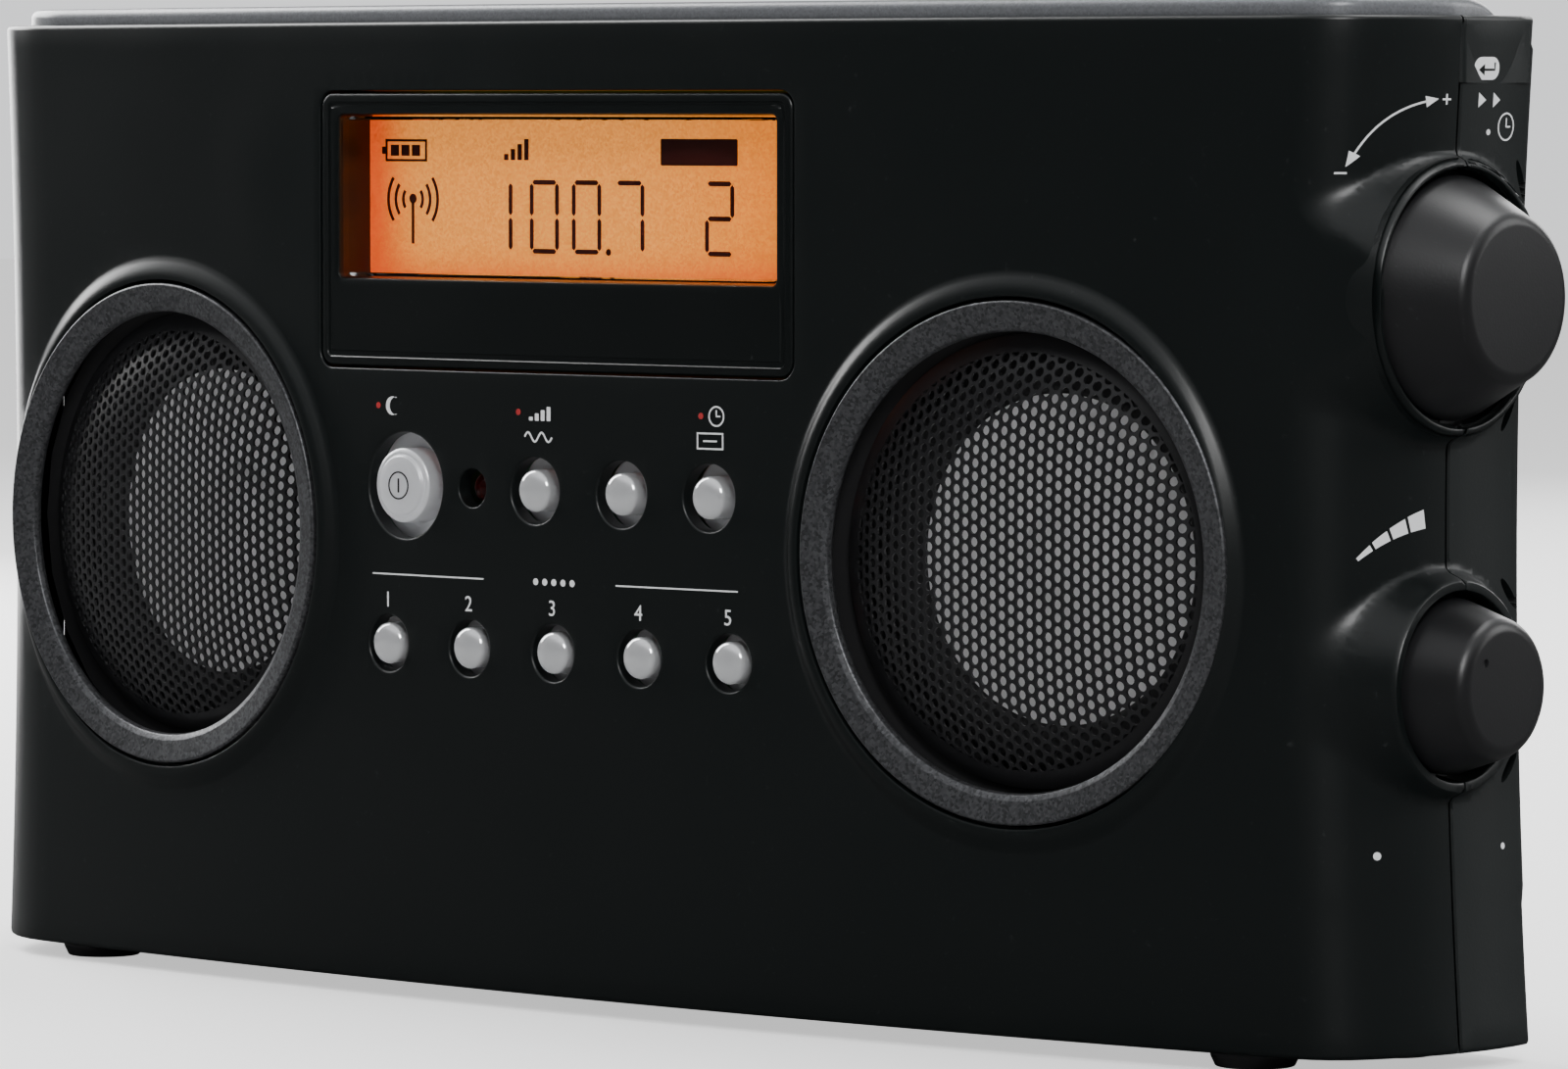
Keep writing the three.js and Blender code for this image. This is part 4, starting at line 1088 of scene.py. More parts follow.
def boss_rings(sheet, ahead):
    """Exact circles round both knobs, as far as this shell's side of the seam."""
    for knob in (TUNING, VOLUME):
        wall = knob["base"] + WELL_GAP
        radii = [3.4, wall - 0.6, wall - 0.1, wall, wall + 0.15, wall + 0.4, knob["rim"] - 0.2, knob["rim"],
                 knob["rim"] + 0.25, knob["rim"] + 0.6, knob["rim"] + 1.1, knob["rim"] + 1.8,
                 knob["rim"] + 2.8]
        for radius in radii:
            previous = None
            for i in range(145):
                turn = 2 * math.pi * i / 144
                y = KNOB_Y + radius * math.cos(turn)
                z = knob["z"] + radius * math.sin(turn)
                fits = 9.9 < y < SEAM - 0.35 if ahead else SEAM + 0.35 < y < 48.6
                if fits:
                    index = len(sheet.points)
                    sheet.points.append((side_along(y), z))
                    if previous is not None:
                        sheet.loops.append((previous, index))
                    previous = index
                else:
                    previous = None
        sheet.rules.append(lambda ps, pv, k=knob: boss_zone(ps, pv, k))
        sheet.drops.append(lambda ps, pv, k=knob: on_boss(ps, pv, k, 3.4))


def on_boss(s, v, knob, radius):
    if not front_along(RIGHT_CORNER[0]) < s < RIGHT_REAR:
        return False
    return math.hypot(PLAN.find(s)[0][1] - KNOB_Y, v - knob["z"]) < radius


def boss_zone(s, v, knob):
    """Keeps background points off the rings round a knob."""
    return 0.0 if on_boss(s, v, knob, knob["rim"] + 0.9) else None


def seam_rows(sheet, groove):
    """Adds the columns that round the sheet's two ends into the seam."""
    s0, s1 = sheet.span[:2]
    fine_rows = spread(EDGE, CASE_HEIGHT - EDGE, 0.8)
    for s, inward in ((s0, 1), (s1, -1)):
        sheet.points += [(s + inward * 0.3, v) for v in (*sheet.rows, *fine_rows)]
        sheet.points += [(s, v) for v in fine_rows]
    ends = [s0, s0 + 0.3, s1 - 0.3, s1]
    sheet.columns = sorted(set(sheet.columns) | set(ends))
    sheet.points += [(s, v) for s in ends for v in (sheet.rows[0], sheet.rows[-1])]
    sheet.rules.append(lambda ps, pv: groove if ps < s0 + 1e-4 or ps > s1 - 1e-4 else None)


def finish_shell(sheet, name, groove, is_front):
    """Wrap, caps, wall thickness."""
    places, faces = sheet.build(on_case)
    wrap = new_piece(name + "_wrap", places, faces)
    left, right = (on_case(s, CASE_HEIGHT, groove) for s in sheet.span[:2])
    place = lambda s, v, d: on_case(s, v, groove if s in sheet.span[:2] else d)
    count = 60
    closing = [(right.x + (left.x - right.x) * i / count, right.y + (left.y - right.y) * i / count)
               for i in range(1, count)]
    if is_front:
        outer, inner = channel_loop(0.3, SEAM + 9), channel_loop(0.14, SEAM + 9)
        loops, heights = [outer, inner], [None, HANDLE["low"] - 0.3]
        top = cap_with_channel(sheet, place, closing, loops, heights)
    else:
        top = cap_rear(sheet, place, closing)
    bottom = case_cap(sheet, place, True, closing)
    pieces = [wrap, new_piece(name + "_top", *top), new_piece(name + "_bottom", *bottom)]
    shell = join(name, *pieces)
    tidy_mesh(shell, merge=4e-6)
    if not is_front:
        open_rebate(shell)
    face_outwards(shell)
    thicken(shell, 1.5)
    floor = at(0, 0, 0).z
    for vertex in shell.data.vertices:
        if vertex.co.z < floor - 1e-6:
            vertex.co.z = 2 * floor - vertex.co.z
    return shell


def face_outwards(shell):
    """Turns an open shell so that its front or back faces away from the object's middle."""
    total = 0.0
    centre = at(0, SEAM, CASE_HEIGHT / 2)
    for polygon in shell.data.polygons:
        total += (polygon.center - centre).dot(polygon.normal) * polygon.area
    if total < 0:
        shell.data.flip_normals()


def cap_with_channel(sheet, place, closing, loops, heights):
    """Top of the front shell: the channel runs out through the seam on both sides."""
    row = [place(s, CASE_HEIGHT, 0.0) for s in sheet.columns]
    boundary = [(p.x, p.y) for p in row] + closing
    level = row[0].z
    clipped = []
    for loop in loops:
        clipped.append([p for p in loop if p[1] < SEAM - 0.4])
    points = [Vector(p) for p in boundary]
    edges = [(i, (i + 1) % len(boundary)) for i in range(len(boundary))]
    for loop in clipped:
        previous = None
        for p in loop:
            points.append(Vector(p))
            index = len(points) - 1
            if previous is not None and math.dist(points[previous], p) < 12:
                edges.append((previous, index))
            previous = index
    found, _, faces, *_ = delaunay_2d_cdt(points, edges, [], 0, 1e-5)
    kept = [f for f in faces
            if inside_loop(boundary, *(sum(found[i][k] for i in f) / len(f) for k in (0, 1)))]
    inner = loops[1]
    places = []
    for p in found:
        deep = inside_loop(inner, p.x, p.y) or any(math.dist(p, q) < 1e-3 for q in clipped[1])
        on_rim = any(math.dist(p, q) < 1e-3 for q in boundary[:len(row)])
        places.append((p.x, p.y, heights[1] if deep and not on_rim else level))
    return places, kept


def arm_span(side):
    """X range of a handle arm at its pivot."""
    low, high = layout("handle_pin_right" if side > 0 else "handle_pin_left")
    inner, outer = PIN_REACH
    return (low.x + inner, high.x - outer) if side > 0 else (low.x + outer, high.x - inner)


def cap_rear(sheet, place, closing):
    """Top of the rear shell, with the pockets that the handle's eyes turn in."""
    loops, heights = [], []
    for side in (-1, 1):
        low, high = arm_span(side)
        outer = rounded_box(low - 0.3, high + 0.22, SEAM + 0.5, 48.0, 0.4, 0.0, 3)
        inner = rounded_box(low - 0.3, high + 0.22, SEAM + 0.5, 48.0, 0.4, -0.1, 3)
        loops += [outer, inner]
        heights += [None, 146.0]
    return case_cap(sheet, place, False, closing, loops, heights)


def finish_dressed(name, material, *nodes, body="casing", slot="case_black"):
    return dress(tidy_mesh(bpy.data.objects[name], merge=1e-7, turn_out=False), MATERIALS[material], body,
                 slot, *nodes)


def door_box():
    low, high = layout("battery_door")
    return low.x, high.x, low.z, high.z


SCREWS = ["rear_screw_1", "rear_screw_2", "rear_screw_3", "rear_screw_4"]
JACKS = {"headphone_jack": 2.9, "line_jack": 2.9, "power_jack": 4.0}


def rear_shell():
    sheet = Sheet(SEAM_RIGHT + SEAM_GAP, SEAM_LEFT - SEAM_GAP)
    for name in SCREWS:
        x, _, z = centre(name)
        rings = lip(3.5, 0.4, 3.0) + [(2.0, 5.2), (0.6, 5.2)]
        sheet.round_feature(back_along(x), z, rings, False, 32)
    for name, radius in JACKS.items():
        _, y, z = centre(name)
        s = PLAN.seek(lambda p: p[1] < y, SEAM_LEFT - 24, SEAM_LEFT)
        sheet.round_feature(s, z, lip(radius + 0.3, 0.4, 2.4), True, 32)
    x0, x1, z0, z1 = door_box()
    s_right, s_left = back_along(x1), back_along(x0)
    sheet.box_feature((s_right, s_left, z0, z1, 0.6), lip(0.28, 0.4, 2.4), True)
    boss_rings(sheet, ahead=False)
    grip_slots(sheet)
    vent_slots(sheet)
    sheet.grid(3.4, 3.4, fine=[(SEAM_RIGHT, RIGHT_REAR + 3, 24, 150, 0.95)])
    groove = bpy.context.scene.radio_sizes.seam_groove * 1000
    seam_rows(sheet, groove)
    finish_shell(sheet, "rear_shell_skin", groove, False)
    return finish_dressed("rear_shell_skin", "rear", "rear_shell")


def grip_slots(sheet):
    """Almond-shaped hollows behind each boss, where a fingertip finds the knob's edge."""
    slots = [(48.2, 130.2, 27, 3.6), (46.9, 96.0, -35, 4.0), (47.2, 68.2, 46, 3.3), (46.6, 42.2, -46, 3.3)]
    for y, z, lean, half in slots:
        outline, inner = (almond((y, z), half - less, 0.85 - less / 2, math.radians(lean))
                          for less in (0, 0.35))
        to_sheet = lambda loop: [(side_along(a), b) for a, b in loop]
        outer_loop, inner_loop = to_sheet(outline), to_sheet(inner)
        sheet.loop(outer_loop)
        sheet.loop(inner_loop)

        def rule(ps, pv, outer_loop=outer_loop, inner_loop=inner_loop):
            if any(math.dist((ps, pv), q) < 1e-4 for q in inner_loop) or inside_loop(inner_loop, ps, pv):
                return 2.2
            if inside_loop(outer_loop, ps, pv):
                return 0.0
            return None

        sheet.rules.insert(0, rule)


def almond(centre, half_length, half_width, lean, count=12):
    points = []
    for i in range(2 * count):
        t = i / count - (0 if i < count else 1)
        along = half_length * math.cos(math.pi * t) * (1 if i < count else -1)
        across = half_width * math.sin(math.pi * t) * (1 if i < count else -1)
        points.append((centre[0] + along * math.sin(-lean) - across * math.cos(lean),
                       centre[1] + along * math.cos(lean) - across * math.sin(lean)))
    return points


def vent_slots(sheet):
    """Rows of rounded slots behind each speaker."""
    for side in (-1, 1):
        for row in range(9):
            z = SPEAKER_Z - 24 + row * 6
            half = math.sqrt(max(30 ** 2 - (z - SPEAKER_Z) ** 2, 0))
            s_mid = back_along(side * 88.0)
            sheet.box_feature((s_mid - half, s_mid + half, z - 1.1, z + 1.1, 1.1), lip(0.0, 0.3, 1.6),
                              False, 5)


def open_rebate(shell):
    """Cuts the step in which the folded aerial lies, and gives it a floor and a wall."""
    wall_y, floor_z = at(0, REBATE[0], 0).y, at(0, 0, REBATE[1]).z
    body = bmesh.new()
    body.from_mesh(shell.data)
    for place, normal in (((0, wall_y, 0), (0, 1, 0)), ((0, 0, floor_z), (0, 0, 1))):
        bmesh.ops.bisect_plane(body, geom=body.verts[:] + body.edges[:] + body.faces[:], dist=1e-7,
                               plane_co=place, plane_no=normal)
    middle_of = lambda face: face.calc_center_median()
    gone = [f for f in body.faces if middle_of(f).y > wall_y and middle_of(f).z > floor_z]
    bmesh.ops.delete(body, geom=gone, context="FACES")
    near = lambda a, b: abs(a - b) < 2e-6
    rim = [e for e in body.edges if len(e.link_faces) == 1]
    floor = [e for e in rim if all(near(v.co.z, floor_z) and v.co.y > wall_y - 2e-6 for v in e.verts)]
    wall = [e for e in rim if all(near(v.co.y, wall_y) and v.co.z > floor_z - 2e-6 for v in e.verts)]
    corners = [v for v in {v for e in floor for v in e.verts} if near(v.co.y, wall_y)]
    ends = [min(corners, key=lambda v: v.co.x), max(corners, key=lambda v: v.co.x)]
    shared = body.edges.new(ends)
    for edges in (floor, wall):
        bmesh.ops.triangle_fill(body, edges=edges + [shared], use_beauty=True)
    bmesh.ops.recalc_face_normals(body, faces=body.faces)
    body.to_mesh(shell.data)
    body.free()


# ---- Speakers ----


def perforation_tree():
    """Geometry nodes: a flat hexagonal cell repeated over a disc, thickened and domed."""
    tree = bpy.data.node_groups.new("perforated_dome", "GeometryNodeTree")
    face = tree.interface
    face.new_socket("Geometry", in_out="OUTPUT", socket_type="NodeSocketGeometry")
    for title, value in (("Pitch", 0.002), ("Hole", 0.0015), ("Radius", 0.033), ("Thickness", 0.0005),
                         ("Crown", 0.0006), ("Fall", 0.0056), ("Rim", 0.035)):
        face.new_socket(title, in_out="INPUT", socket_type="NodeSocketFloat").default_value = value
    face.new_socket("Cell", in_out="INPUT", socket_type="NodeSocketObject")
    face.new_socket("Material", in_out="INPUT", socket_type="NodeSocketMaterial")
    source, sink = tree.nodes.new("NodeGroupInput"), tree.nodes.new("NodeGroupOutput")

    def math_node(operation, *values):
        made = node(tree, "ShaderNodeMath", operation=operation)
        for i, value in enumerate(values):
            if hasattr(value, "is_output"):
                link(tree, value, made.inputs[i])
            else:
                made.inputs[i].default_value = value
        return made.outputs[0]

    count_up, count_across = 41, 24
    rows = []
    for shifted in (0, 1):
        grid = node(tree, "GeometryNodeMeshGrid")
        grid.inputs["Vertices X"].default_value = count_across - shifted
        grid.inputs["Vertices Y"].default_value = count_up - shifted
        across = math_node("MULTIPLY", source.outputs["Pitch"], math.sqrt(3) * (count_across - shifted - 1))
        up = math_node("MULTIPLY", source.outputs["Pitch"], count_up - shifted - 1)
        link(tree, across, grid.inputs["Size X"])
        link(tree, up, grid.inputs["Size Y"])
        rows.append(grid.outputs["Mesh"])
    both = node(tree, "GeometryNodeJoinGeometry")
    for row in rows:
        link(tree, row, both.inputs[0])
    place = node(tree, "GeometryNodeInputPosition")
    length = node(tree, "ShaderNodeVectorMath", operation="LENGTH")
    link(tree, place.outputs[0], length.inputs[0])
    outside = node(tree, "FunctionNodeCompare", operation="GREATER_THAN")
    link(tree, length.outputs["Value"], outside.inputs[0])
    link(tree, source.outputs["Radius"], outside.inputs[1])
    trimmed = node(tree, "GeometryNodeDeleteGeometry", domain="POINT")
    link(tree, both.outputs[0], trimmed.inputs["Geometry"])
    link(tree, outside.outputs[0], trimmed.inputs["Selection"])
    cell = node(tree, "GeometryNodeObjectInfo", transform_space="ORIGINAL")
    link(tree, source.outputs["Cell"], cell.inputs["Object"])
    copies = node(tree, "GeometryNodeInstanceOnPoints")
    link(tree, trimmed.outputs[0], copies.inputs["Points"])
    link(tree, cell.outputs["Geometry"], copies.inputs["Instance"])
    size = node(tree, "ShaderNodeCombineXYZ")
    for i in range(3):
        link(tree, source.outputs["Pitch"], size.inputs[i])
    link(tree, size.outputs[0], copies.inputs["Scale"])
    real = node(tree, "GeometryNodeRealizeInstances")
    link(tree, copies.outputs[0], real.inputs[0])
    welded = node(tree, "GeometryNodeMergeByDistance")
    welded.inputs["Distance"].default_value = 0.00002
    link(tree, real.outputs[0], welded.inputs["Geometry"])
    thick = node(tree, "GeometryNodeExtrudeMesh", mode="FACES")
    thick.inputs["Individual"].default_value = False
    link(tree, welded.outputs[0], thick.inputs["Mesh"])
    link(tree, source.outputs["Thickness"], thick.inputs["Offset Scale"])
    turned = node(tree, "GeometryNodeFlipFaces")
    link(tree, welded.outputs[0], turned.inputs[0])
    closed = node(tree, "GeometryNodeJoinGeometry")
    link(tree, thick.outputs["Mesh"], closed.inputs[0])
    link(tree, turned.outputs[0], closed.inputs[0])
    sealed = node(tree, "GeometryNodeMergeByDistance")
    sealed.inputs["Distance"].default_value = 0.00002
    link(tree, closed.outputs[0], sealed.inputs["Geometry"])
    spot = node(tree, "GeometryNodeInputPosition")
    flat = node(tree, "ShaderNodeVectorMath", operation="MULTIPLY")
    flat.inputs[1].default_value = (1, 1, 0)
    link(tree, spot.outputs[0], flat.inputs[0])
    away = node(tree, "ShaderNodeVectorMath", operation="LENGTH")
    link(tree, flat.outputs[0], away.inputs[0])
    ratio = math_node("DIVIDE", away.outputs["Value"], source.outputs["Rim"])
    drop = math_node("MULTIPLY", math_node("POWER", ratio, 4.0), source.outputs["Fall"])
    lift = math_node("SUBTRACT", source.outputs["Crown"], drop)
    offset = node(tree, "ShaderNodeCombineXYZ")
    link(tree, lift, offset.inputs[2])
    domed = node(tree, "GeometryNodeSetPosition")
    link(tree, sealed.outputs[0], domed.inputs["Geometry"])
    link(tree, offset.outputs[0], domed.inputs["Offset"])
    realized = node(tree, "GeometryNodeRealizeInstances")
    link(tree, domed.outputs[0], realized.inputs[0])
    painted = node(tree, "GeometryNodeSetMaterial")
    link(tree, realized.outputs[0], painted.inputs["Geometry"])
    link(tree, source.outputs["Material"], painted.inputs["Material"])
    link(tree, painted.outputs[0], sink.inputs[0])
    return tree


def perforated_cell(hole_ratio):
    """One hexagonal cell of unit pitch with a round hole, as a flat ring of faces."""
    corner = 1 / math.sqrt(3)
    outline = []
    for i in range(6):
        a = (corner * math.cos(math.radians(60 * i)), corner * math.sin(math.radians(60 * i)))
        b = (corner * math.cos(math.radians(60 * i + 60)), corner * math.sin(math.radians(60 * i + 60)))
        outline += [a, ((a[0] + b[0]) / 2, (a[1] + b[1]) / 2)]
    hole = [(hole_ratio / 2 * math.cos(math.radians(30 * i)), hole_ratio / 2 * math.sin(math.radians(30 * i)))
            for i in range(12)]
    vertices = [(x, y, 0) for x, y in outline + hole]
    faces = [(i, (i + 1) % 12, 12 + (i + 1) % 12, 12 + i) for i in range(12)]
    return new_piece("grille_cell", [Vector(v) for v in vertices], faces, metres=True)


def set_inputs(modifier, tree, **values):
    """Sets a geometry nodes modifier's inputs by their sockets' identifiers."""
    for item in tree.interface.items_tree:
        if item.in_out == "INPUT" and item.name in values:
            modifier[item.identifier] = values[item.name]


def grille(side, name):
    sizes = bpy.context.scene.radio_sizes
    cell = perforated_cell(sizes.hole_width / sizes.hole_pitch)
    tree = bpy.data.node_groups.get("perforated_dome") or perforation_tree()
    carrier = new_piece("speaker_grille_" + name + "_mesh", [Vector((0, 0, 0))], [], metres=True)
    modifier = carrier.modifiers.new("Perforation", "NODES")
    modifier.node_group = tree
    set_inputs(modifier, tree, Pitch=sizes.hole_pitch, Hole=sizes.hole_width, Radius=0.0325, Thickness=0.0005,
               Crown=0.0001, Fall=0.0056, Rim=0.035, Cell=cell, Material=MATERIALS["grille"])
    apply_modifiers(carrier)
    discard(cell)
    place = speaker_place(side)
    for vertex in carrier.data.vertices:
        x, y, z = vertex.co * 1000
        vertex.co = at(*place(x, y, -z))
    depth = lambda r: -0.6 + 5.6 * (r / 35.0) ** 4
    rim = [(31.9, depth(31.9) + 0.02), (33.0, depth(33.0)), (34.0, depth(34.0)), (34.6, depth(34.6)),
           (34.65, depth(34.6) + 0.3), (34.4, depth(34.6) + 0.6), (33.0, depth(33.0) + 0.6),
           (31.9, depth(31.9) + 0.55)]
    band = lathe("grille_band", rim, 128, place)
    result = join("speaker_grille_" + name + "_mesh", carrier, band)
    tidy_mesh(result, merge=1e-8, angle=40)
    return dress(result, MATERIALS["grille"], "casing", "grille_black", "speaker_grille_" + name)


def speaker(side, name):
    place = speaker_place(side)
    ring = rounded_profile([
        (35.3, 1.5, 0), (39.85, 1.5, 0.3), (39.85, -1.1, 0.35), (39.5, -1.32, 0.2), (38.9, -1.18, 0.3),
        (36.2, -0.62, 0.8), (35.25, -0.1, 0.5), (35.05, 0.8, 0.3), (35.3, 1.5, 0)], 4)[:-1]
    made = lathe("speaker_ring_" + name + "_turned", ring, 160, place)
    dress(made, MATERIALS["ring"], "casing", "ring_gunmetal", "speaker_ring_" + name)
    grille(side, name)
    roll = [(25.6 + 4.2 - 4.0 * math.cos(math.pi * i / 12), 12.2 - 3.2 * math.sin(math.pi * i / 12))
            for i in range(13)]
    surround = [(25.2, 12.9), *roll, (34.4, 12.0), (34.4, 12.9), (25.6, 13.6)]
    made = lathe("speaker_surround_" + name, surround, 96, place)
    dress(made, MATERIALS["surround"], "casing", "cone_paper")
    cap_curve = [(9.5 * math.sin(math.radians(a)), 16.6 - 3.2 * math.cos(math.radians(a)))
                 for a in range(0, 91, 15)]
    cone = cap_curve + [(12.0, 16.0), (18.0, 14.6), (25.4, 12.6), (25.4, 13.1), (18.0, 15.6), (10.0, 18.4),
                        (0, 19.0)]
    made = lathe("speaker_cone_" + name + "_turned", cone, 96, place)
    dress(made, MATERIALS["cone"], "casing", "cone_paper", "speaker_cone_" + name)


# ---- Display ----


def on_front(x, z, depth=0.0):
    """Layout place on the bowed front, in from it by a depth."""
    return Vector((x, bow(x) + depth, z))


def plate(name, outline_box, rings, thick, open_inside=None, step=4.0):
    """A bowed plate with rounded outline edges; open_inside cuts a window through it."""
    x0, x1, z0, z1, corner = outline_box
    sheet = Sheet(x0 - 1, x1 + 1, z0 - 1, z1 + 1)
    sheet.box_feature(outline_box, rings, False)
    outer = rounded_box(x0, x1, z0, z1, corner, rings[0][0])
    sheet.drops.append(lambda a, b: not inside_loop(outer, a, b))
    if open_inside:
        box, inner_rings = open_inside
        sheet.box_feature(box, inner_rings, True)
        sheet.rules.insert(0, sheet.rules.pop())
    for a in spread(x0 + 1, x1 - 1, step):
        for b in spread(z0 + 1, z1 - 1, step):
            sheet.points.append((a, b))
    return sheet_piece(name, *sheet.build(on_front), True, thick)


def sheet_piece(name, places, faces, to_front, wall):
    """A closed piece from the used part of a sheet that faces the front or the back."""
    used = sorted({i for f in faces for i in f})
    index = {old: new for new, old in enumerate(used)}
    obj = new_piece(name, [places[i] for i in used], [tuple(index[i] for i in f) for f in faces])
    tidy_mesh(obj, merge=1e-7)
    facing = sum(p.normal.y * p.area for p in obj.data.polygons)
    if (facing > 0) == to_front:
        obj.data.flip_normals()
    thicken(obj, wall)
    return tidy_mesh(obj, merge=1e-8, turn_out=False)


def display():
    edge = [(0.0, 1.6), (-0.03, 0.5), (-0.12, 0.28), (-0.3, 0.12), (-0.55, 0.05), (-0.9, 0.02), (-1.35, 0.02),
            (-1.55, 0.22), (-1.9, 0.26), (-2.3, 0.22), (-2.5, 0.04), (-2.9, 0.04)]
    window_rings = [(1.5, 0.04), (0.5, 0.04), (0.2, 0.12), (0.05, 0.35), (0.0, 0.6), (-0.12, 7.6)]
    panel = plate("display_panel_frame", PANEL, edge, 0.8, (WINDOW, window_rings), 5.0)
    dress(panel, MATERIALS["panel"], "casing", "panel_black", "display_panel")
    x0, x1, z0, z1, _ = WINDOW
    lens = plate("display_window_pane", (x0 + 0.3, x1 - 0.3, z0 + 0.3, z1 - 0.3, 0.7),
                 [(0.0, 0.95), (-0.3, 0.75)], 1.0)
    dress(lens, MATERIALS["window"], "casing", "window_clear", "display_window")
    low, high = layout("lcd_module")
    glow = rounded_box(low.x, high.x, low.z, high.z, 0.8, 0, 4)
    made = prism("lcd_cell", glow, lambda a, b, h: (a, h, b), low.y, high.y)
    dress(made, MATERIALS["glow"], "casing", "lcd_amber", "lcd_module")
    display_marks(low.y)


DIGITS = {"0": "abcdef", "1": "bc", "2": "abged", "7": "abc"}


def digit_outlines(character, x, z, width, height, stroke):
    """Outlines of the lit segments of one seven-segment digit, slim and slightly apart."""
    half = height / 2
    bars = {
        "a": ((0, height), (width, height)), "g": ((0, half), (width, half)), "d": ((0, 0), (width, 0)),
        "f": ((0, half), (0, height)), "b": ((width, half), (width, height)),
        "e": ((0, 0), (0, half)), "c": ((width, 0), (width, half)),
    }
    outlines = []
    for letter in DIGITS[character]:
        (ax, az), (bx, bz) = bars[letter]
        a, b = Vector((x + ax, z + az)), Vector((x + bx, z + bz))
        along = (b - a).normalized()
        side = Vector((-along.y, along.x)) * stroke / 2
        a, b = a + along * stroke * 0.75, b - along * stroke * 0.75
        tip = along * stroke / 2
        outlines.append([tuple(p) for p in (a - tip, a + side, b + side, b + tip, b - side, a - side)][::-1])
    return outlines


def display_marks(face):
    """Dark segments on the lit cell: a station number, a preset number and plain symbols."""
    outlines = []
    for character, x in (("1", -22.6), ("0", -12.3), ("0", -3.0), ("7", 6.4)):
        outlines += digit_outlines(character, x, 118.3, 5.6, 11.0, 0.78)
    outlines += digit_outlines("2", 25.9, 118.3, 5.4, 11.0, 0.78)
    outlines.append(circle_outline(4.6, 118.3, 0.55, 10))
    outlines += battery_symbol(-45.0, 132.7)
    outlines += wave_symbol(-39.0, 124.2)
    outlines += box_symbol(24.2, 134.2)
    outlines += level_symbol(-18.4, 132.8)
    pieces = [prism("segment", outline, lambda a, b, h: (a, h, b), face - 0.16, face - 0.05)
              for outline in outlines]
    dress(join("lcd_segments", *pieces), MATERIALS["segments"], "casing", "lcd_amber")


def circle_outline(x, z, radius, count=20):
    return [(x + radius * math.cos(2 * math.pi * i / count), z + radius * math.sin(2 * math.pi * i / count))
            for i in range(count)]


def stroke_outline(points, width):
    """Outline of a line of that width along some points."""
    left, right = [], []
    for i, p in enumerate(points):
        a = Vector(points[max(i - 1, 0)])
        b = Vector(points[min(i + 1, len(points) - 1)])
        side = (b - a).normalized()
        side = Vector((-side.y, side.x)) * width / 2
        left.append(tuple(Vector(p) + side))
        right.append(tuple(Vector(p) - side))
    return left + right[::-1]


def arc_line(x, z, radius, start, end, count=16):
    turns = [math.radians(start + (end - start) * i / count) for i in range(count + 1)]
    return [(x + radius * math.cos(t), z + radius * math.sin(t)) for t in turns]


def battery_symbol(x, z):
    frame_lines = [[(x, z), (x + 9.0, z)], [(x, z + 3.2), (x + 9.0, z + 3.2)],
                   [(x, z - 0.2), (x, z + 3.4)], [(x + 9.0, z - 0.2), (x + 9.0, z + 3.4)]]
    bars = [rounded_box(x + 1.0 + 2.4 * i, x + 2.8 + 2.4 * i, z + 0.7, z + 2.5, 0.1, 0, 2) for i in range(3)]
    nub = rounded_box(x - 1.0, x - 0.2, z + 1.0, z + 2.2, 0.1, 0, 2)
    return [stroke_outline(line, 0.4) for line in frame_lines] + bars + [nub]


def wave_symbol(x, z):
    """A mast with waves on both sides."""
    lines = [[(x, z - 5.0), (x, z + 1.6)]]
    for radius in (2.2, 3.9, 5.6):
        lines.append(arc_line(x, z + 2.2, radius, -38, 38))
        lines.append(arc_line(x, z + 2.2, radius, 142, 218))
    return [stroke_outline(line, 0.55) for line in lines] + [circle_outline(x, z + 2.3, 0.8)]


def level_symbol(x, z):
    """Four rising bars for the strength of reception."""
    return [rounded_box(x + 1.5 * i, x + 1.5 * i + 0.9, z, z + 1.0 + 0.8 * i, 0.1, 0, 2) for i in range(4)]


def box_symbol(x, z):
    """A plain filled box."""
    return [rounded_box(x - 8.2, x + 8.2, z - 2.1, z + 2.1, 0.25, 0, 3)]


# ---- Keys and lamp ----


def key(node_name, x, z, radius, well, proud=1.05):
    """A domed key with its retaining flange and stem."""
    face = bow(x)
    _, high = layout(node_name)
    stem = high.y - face
    flange = well + 0.7
    skirt = rounded_profile([
        (0, stem, 0), (1.9, stem, 0.3), (1.9, 5.0, 0.3), (flange, 5.0, 0.2), (flange, 3.95, 0.2),
        (radius, 3.95, 0.2), (radius, -proud + 1.35, 1.1)], 6)
    dome = []
    for i in range(12):
        turn = math.pi / 2 * i / 12
        dome.append((radius * math.cos(turn) ** 0.8, -proud + 1.5 * (1 - math.sin(turn))))
    made = lathe(node_name + "_dome", skirt[:-1] + dome + [(0, -proud)], 64, along_y(x, z, face))
    dress(made, MATERIALS["chrome"], node_name, "button_chrome", node_name)


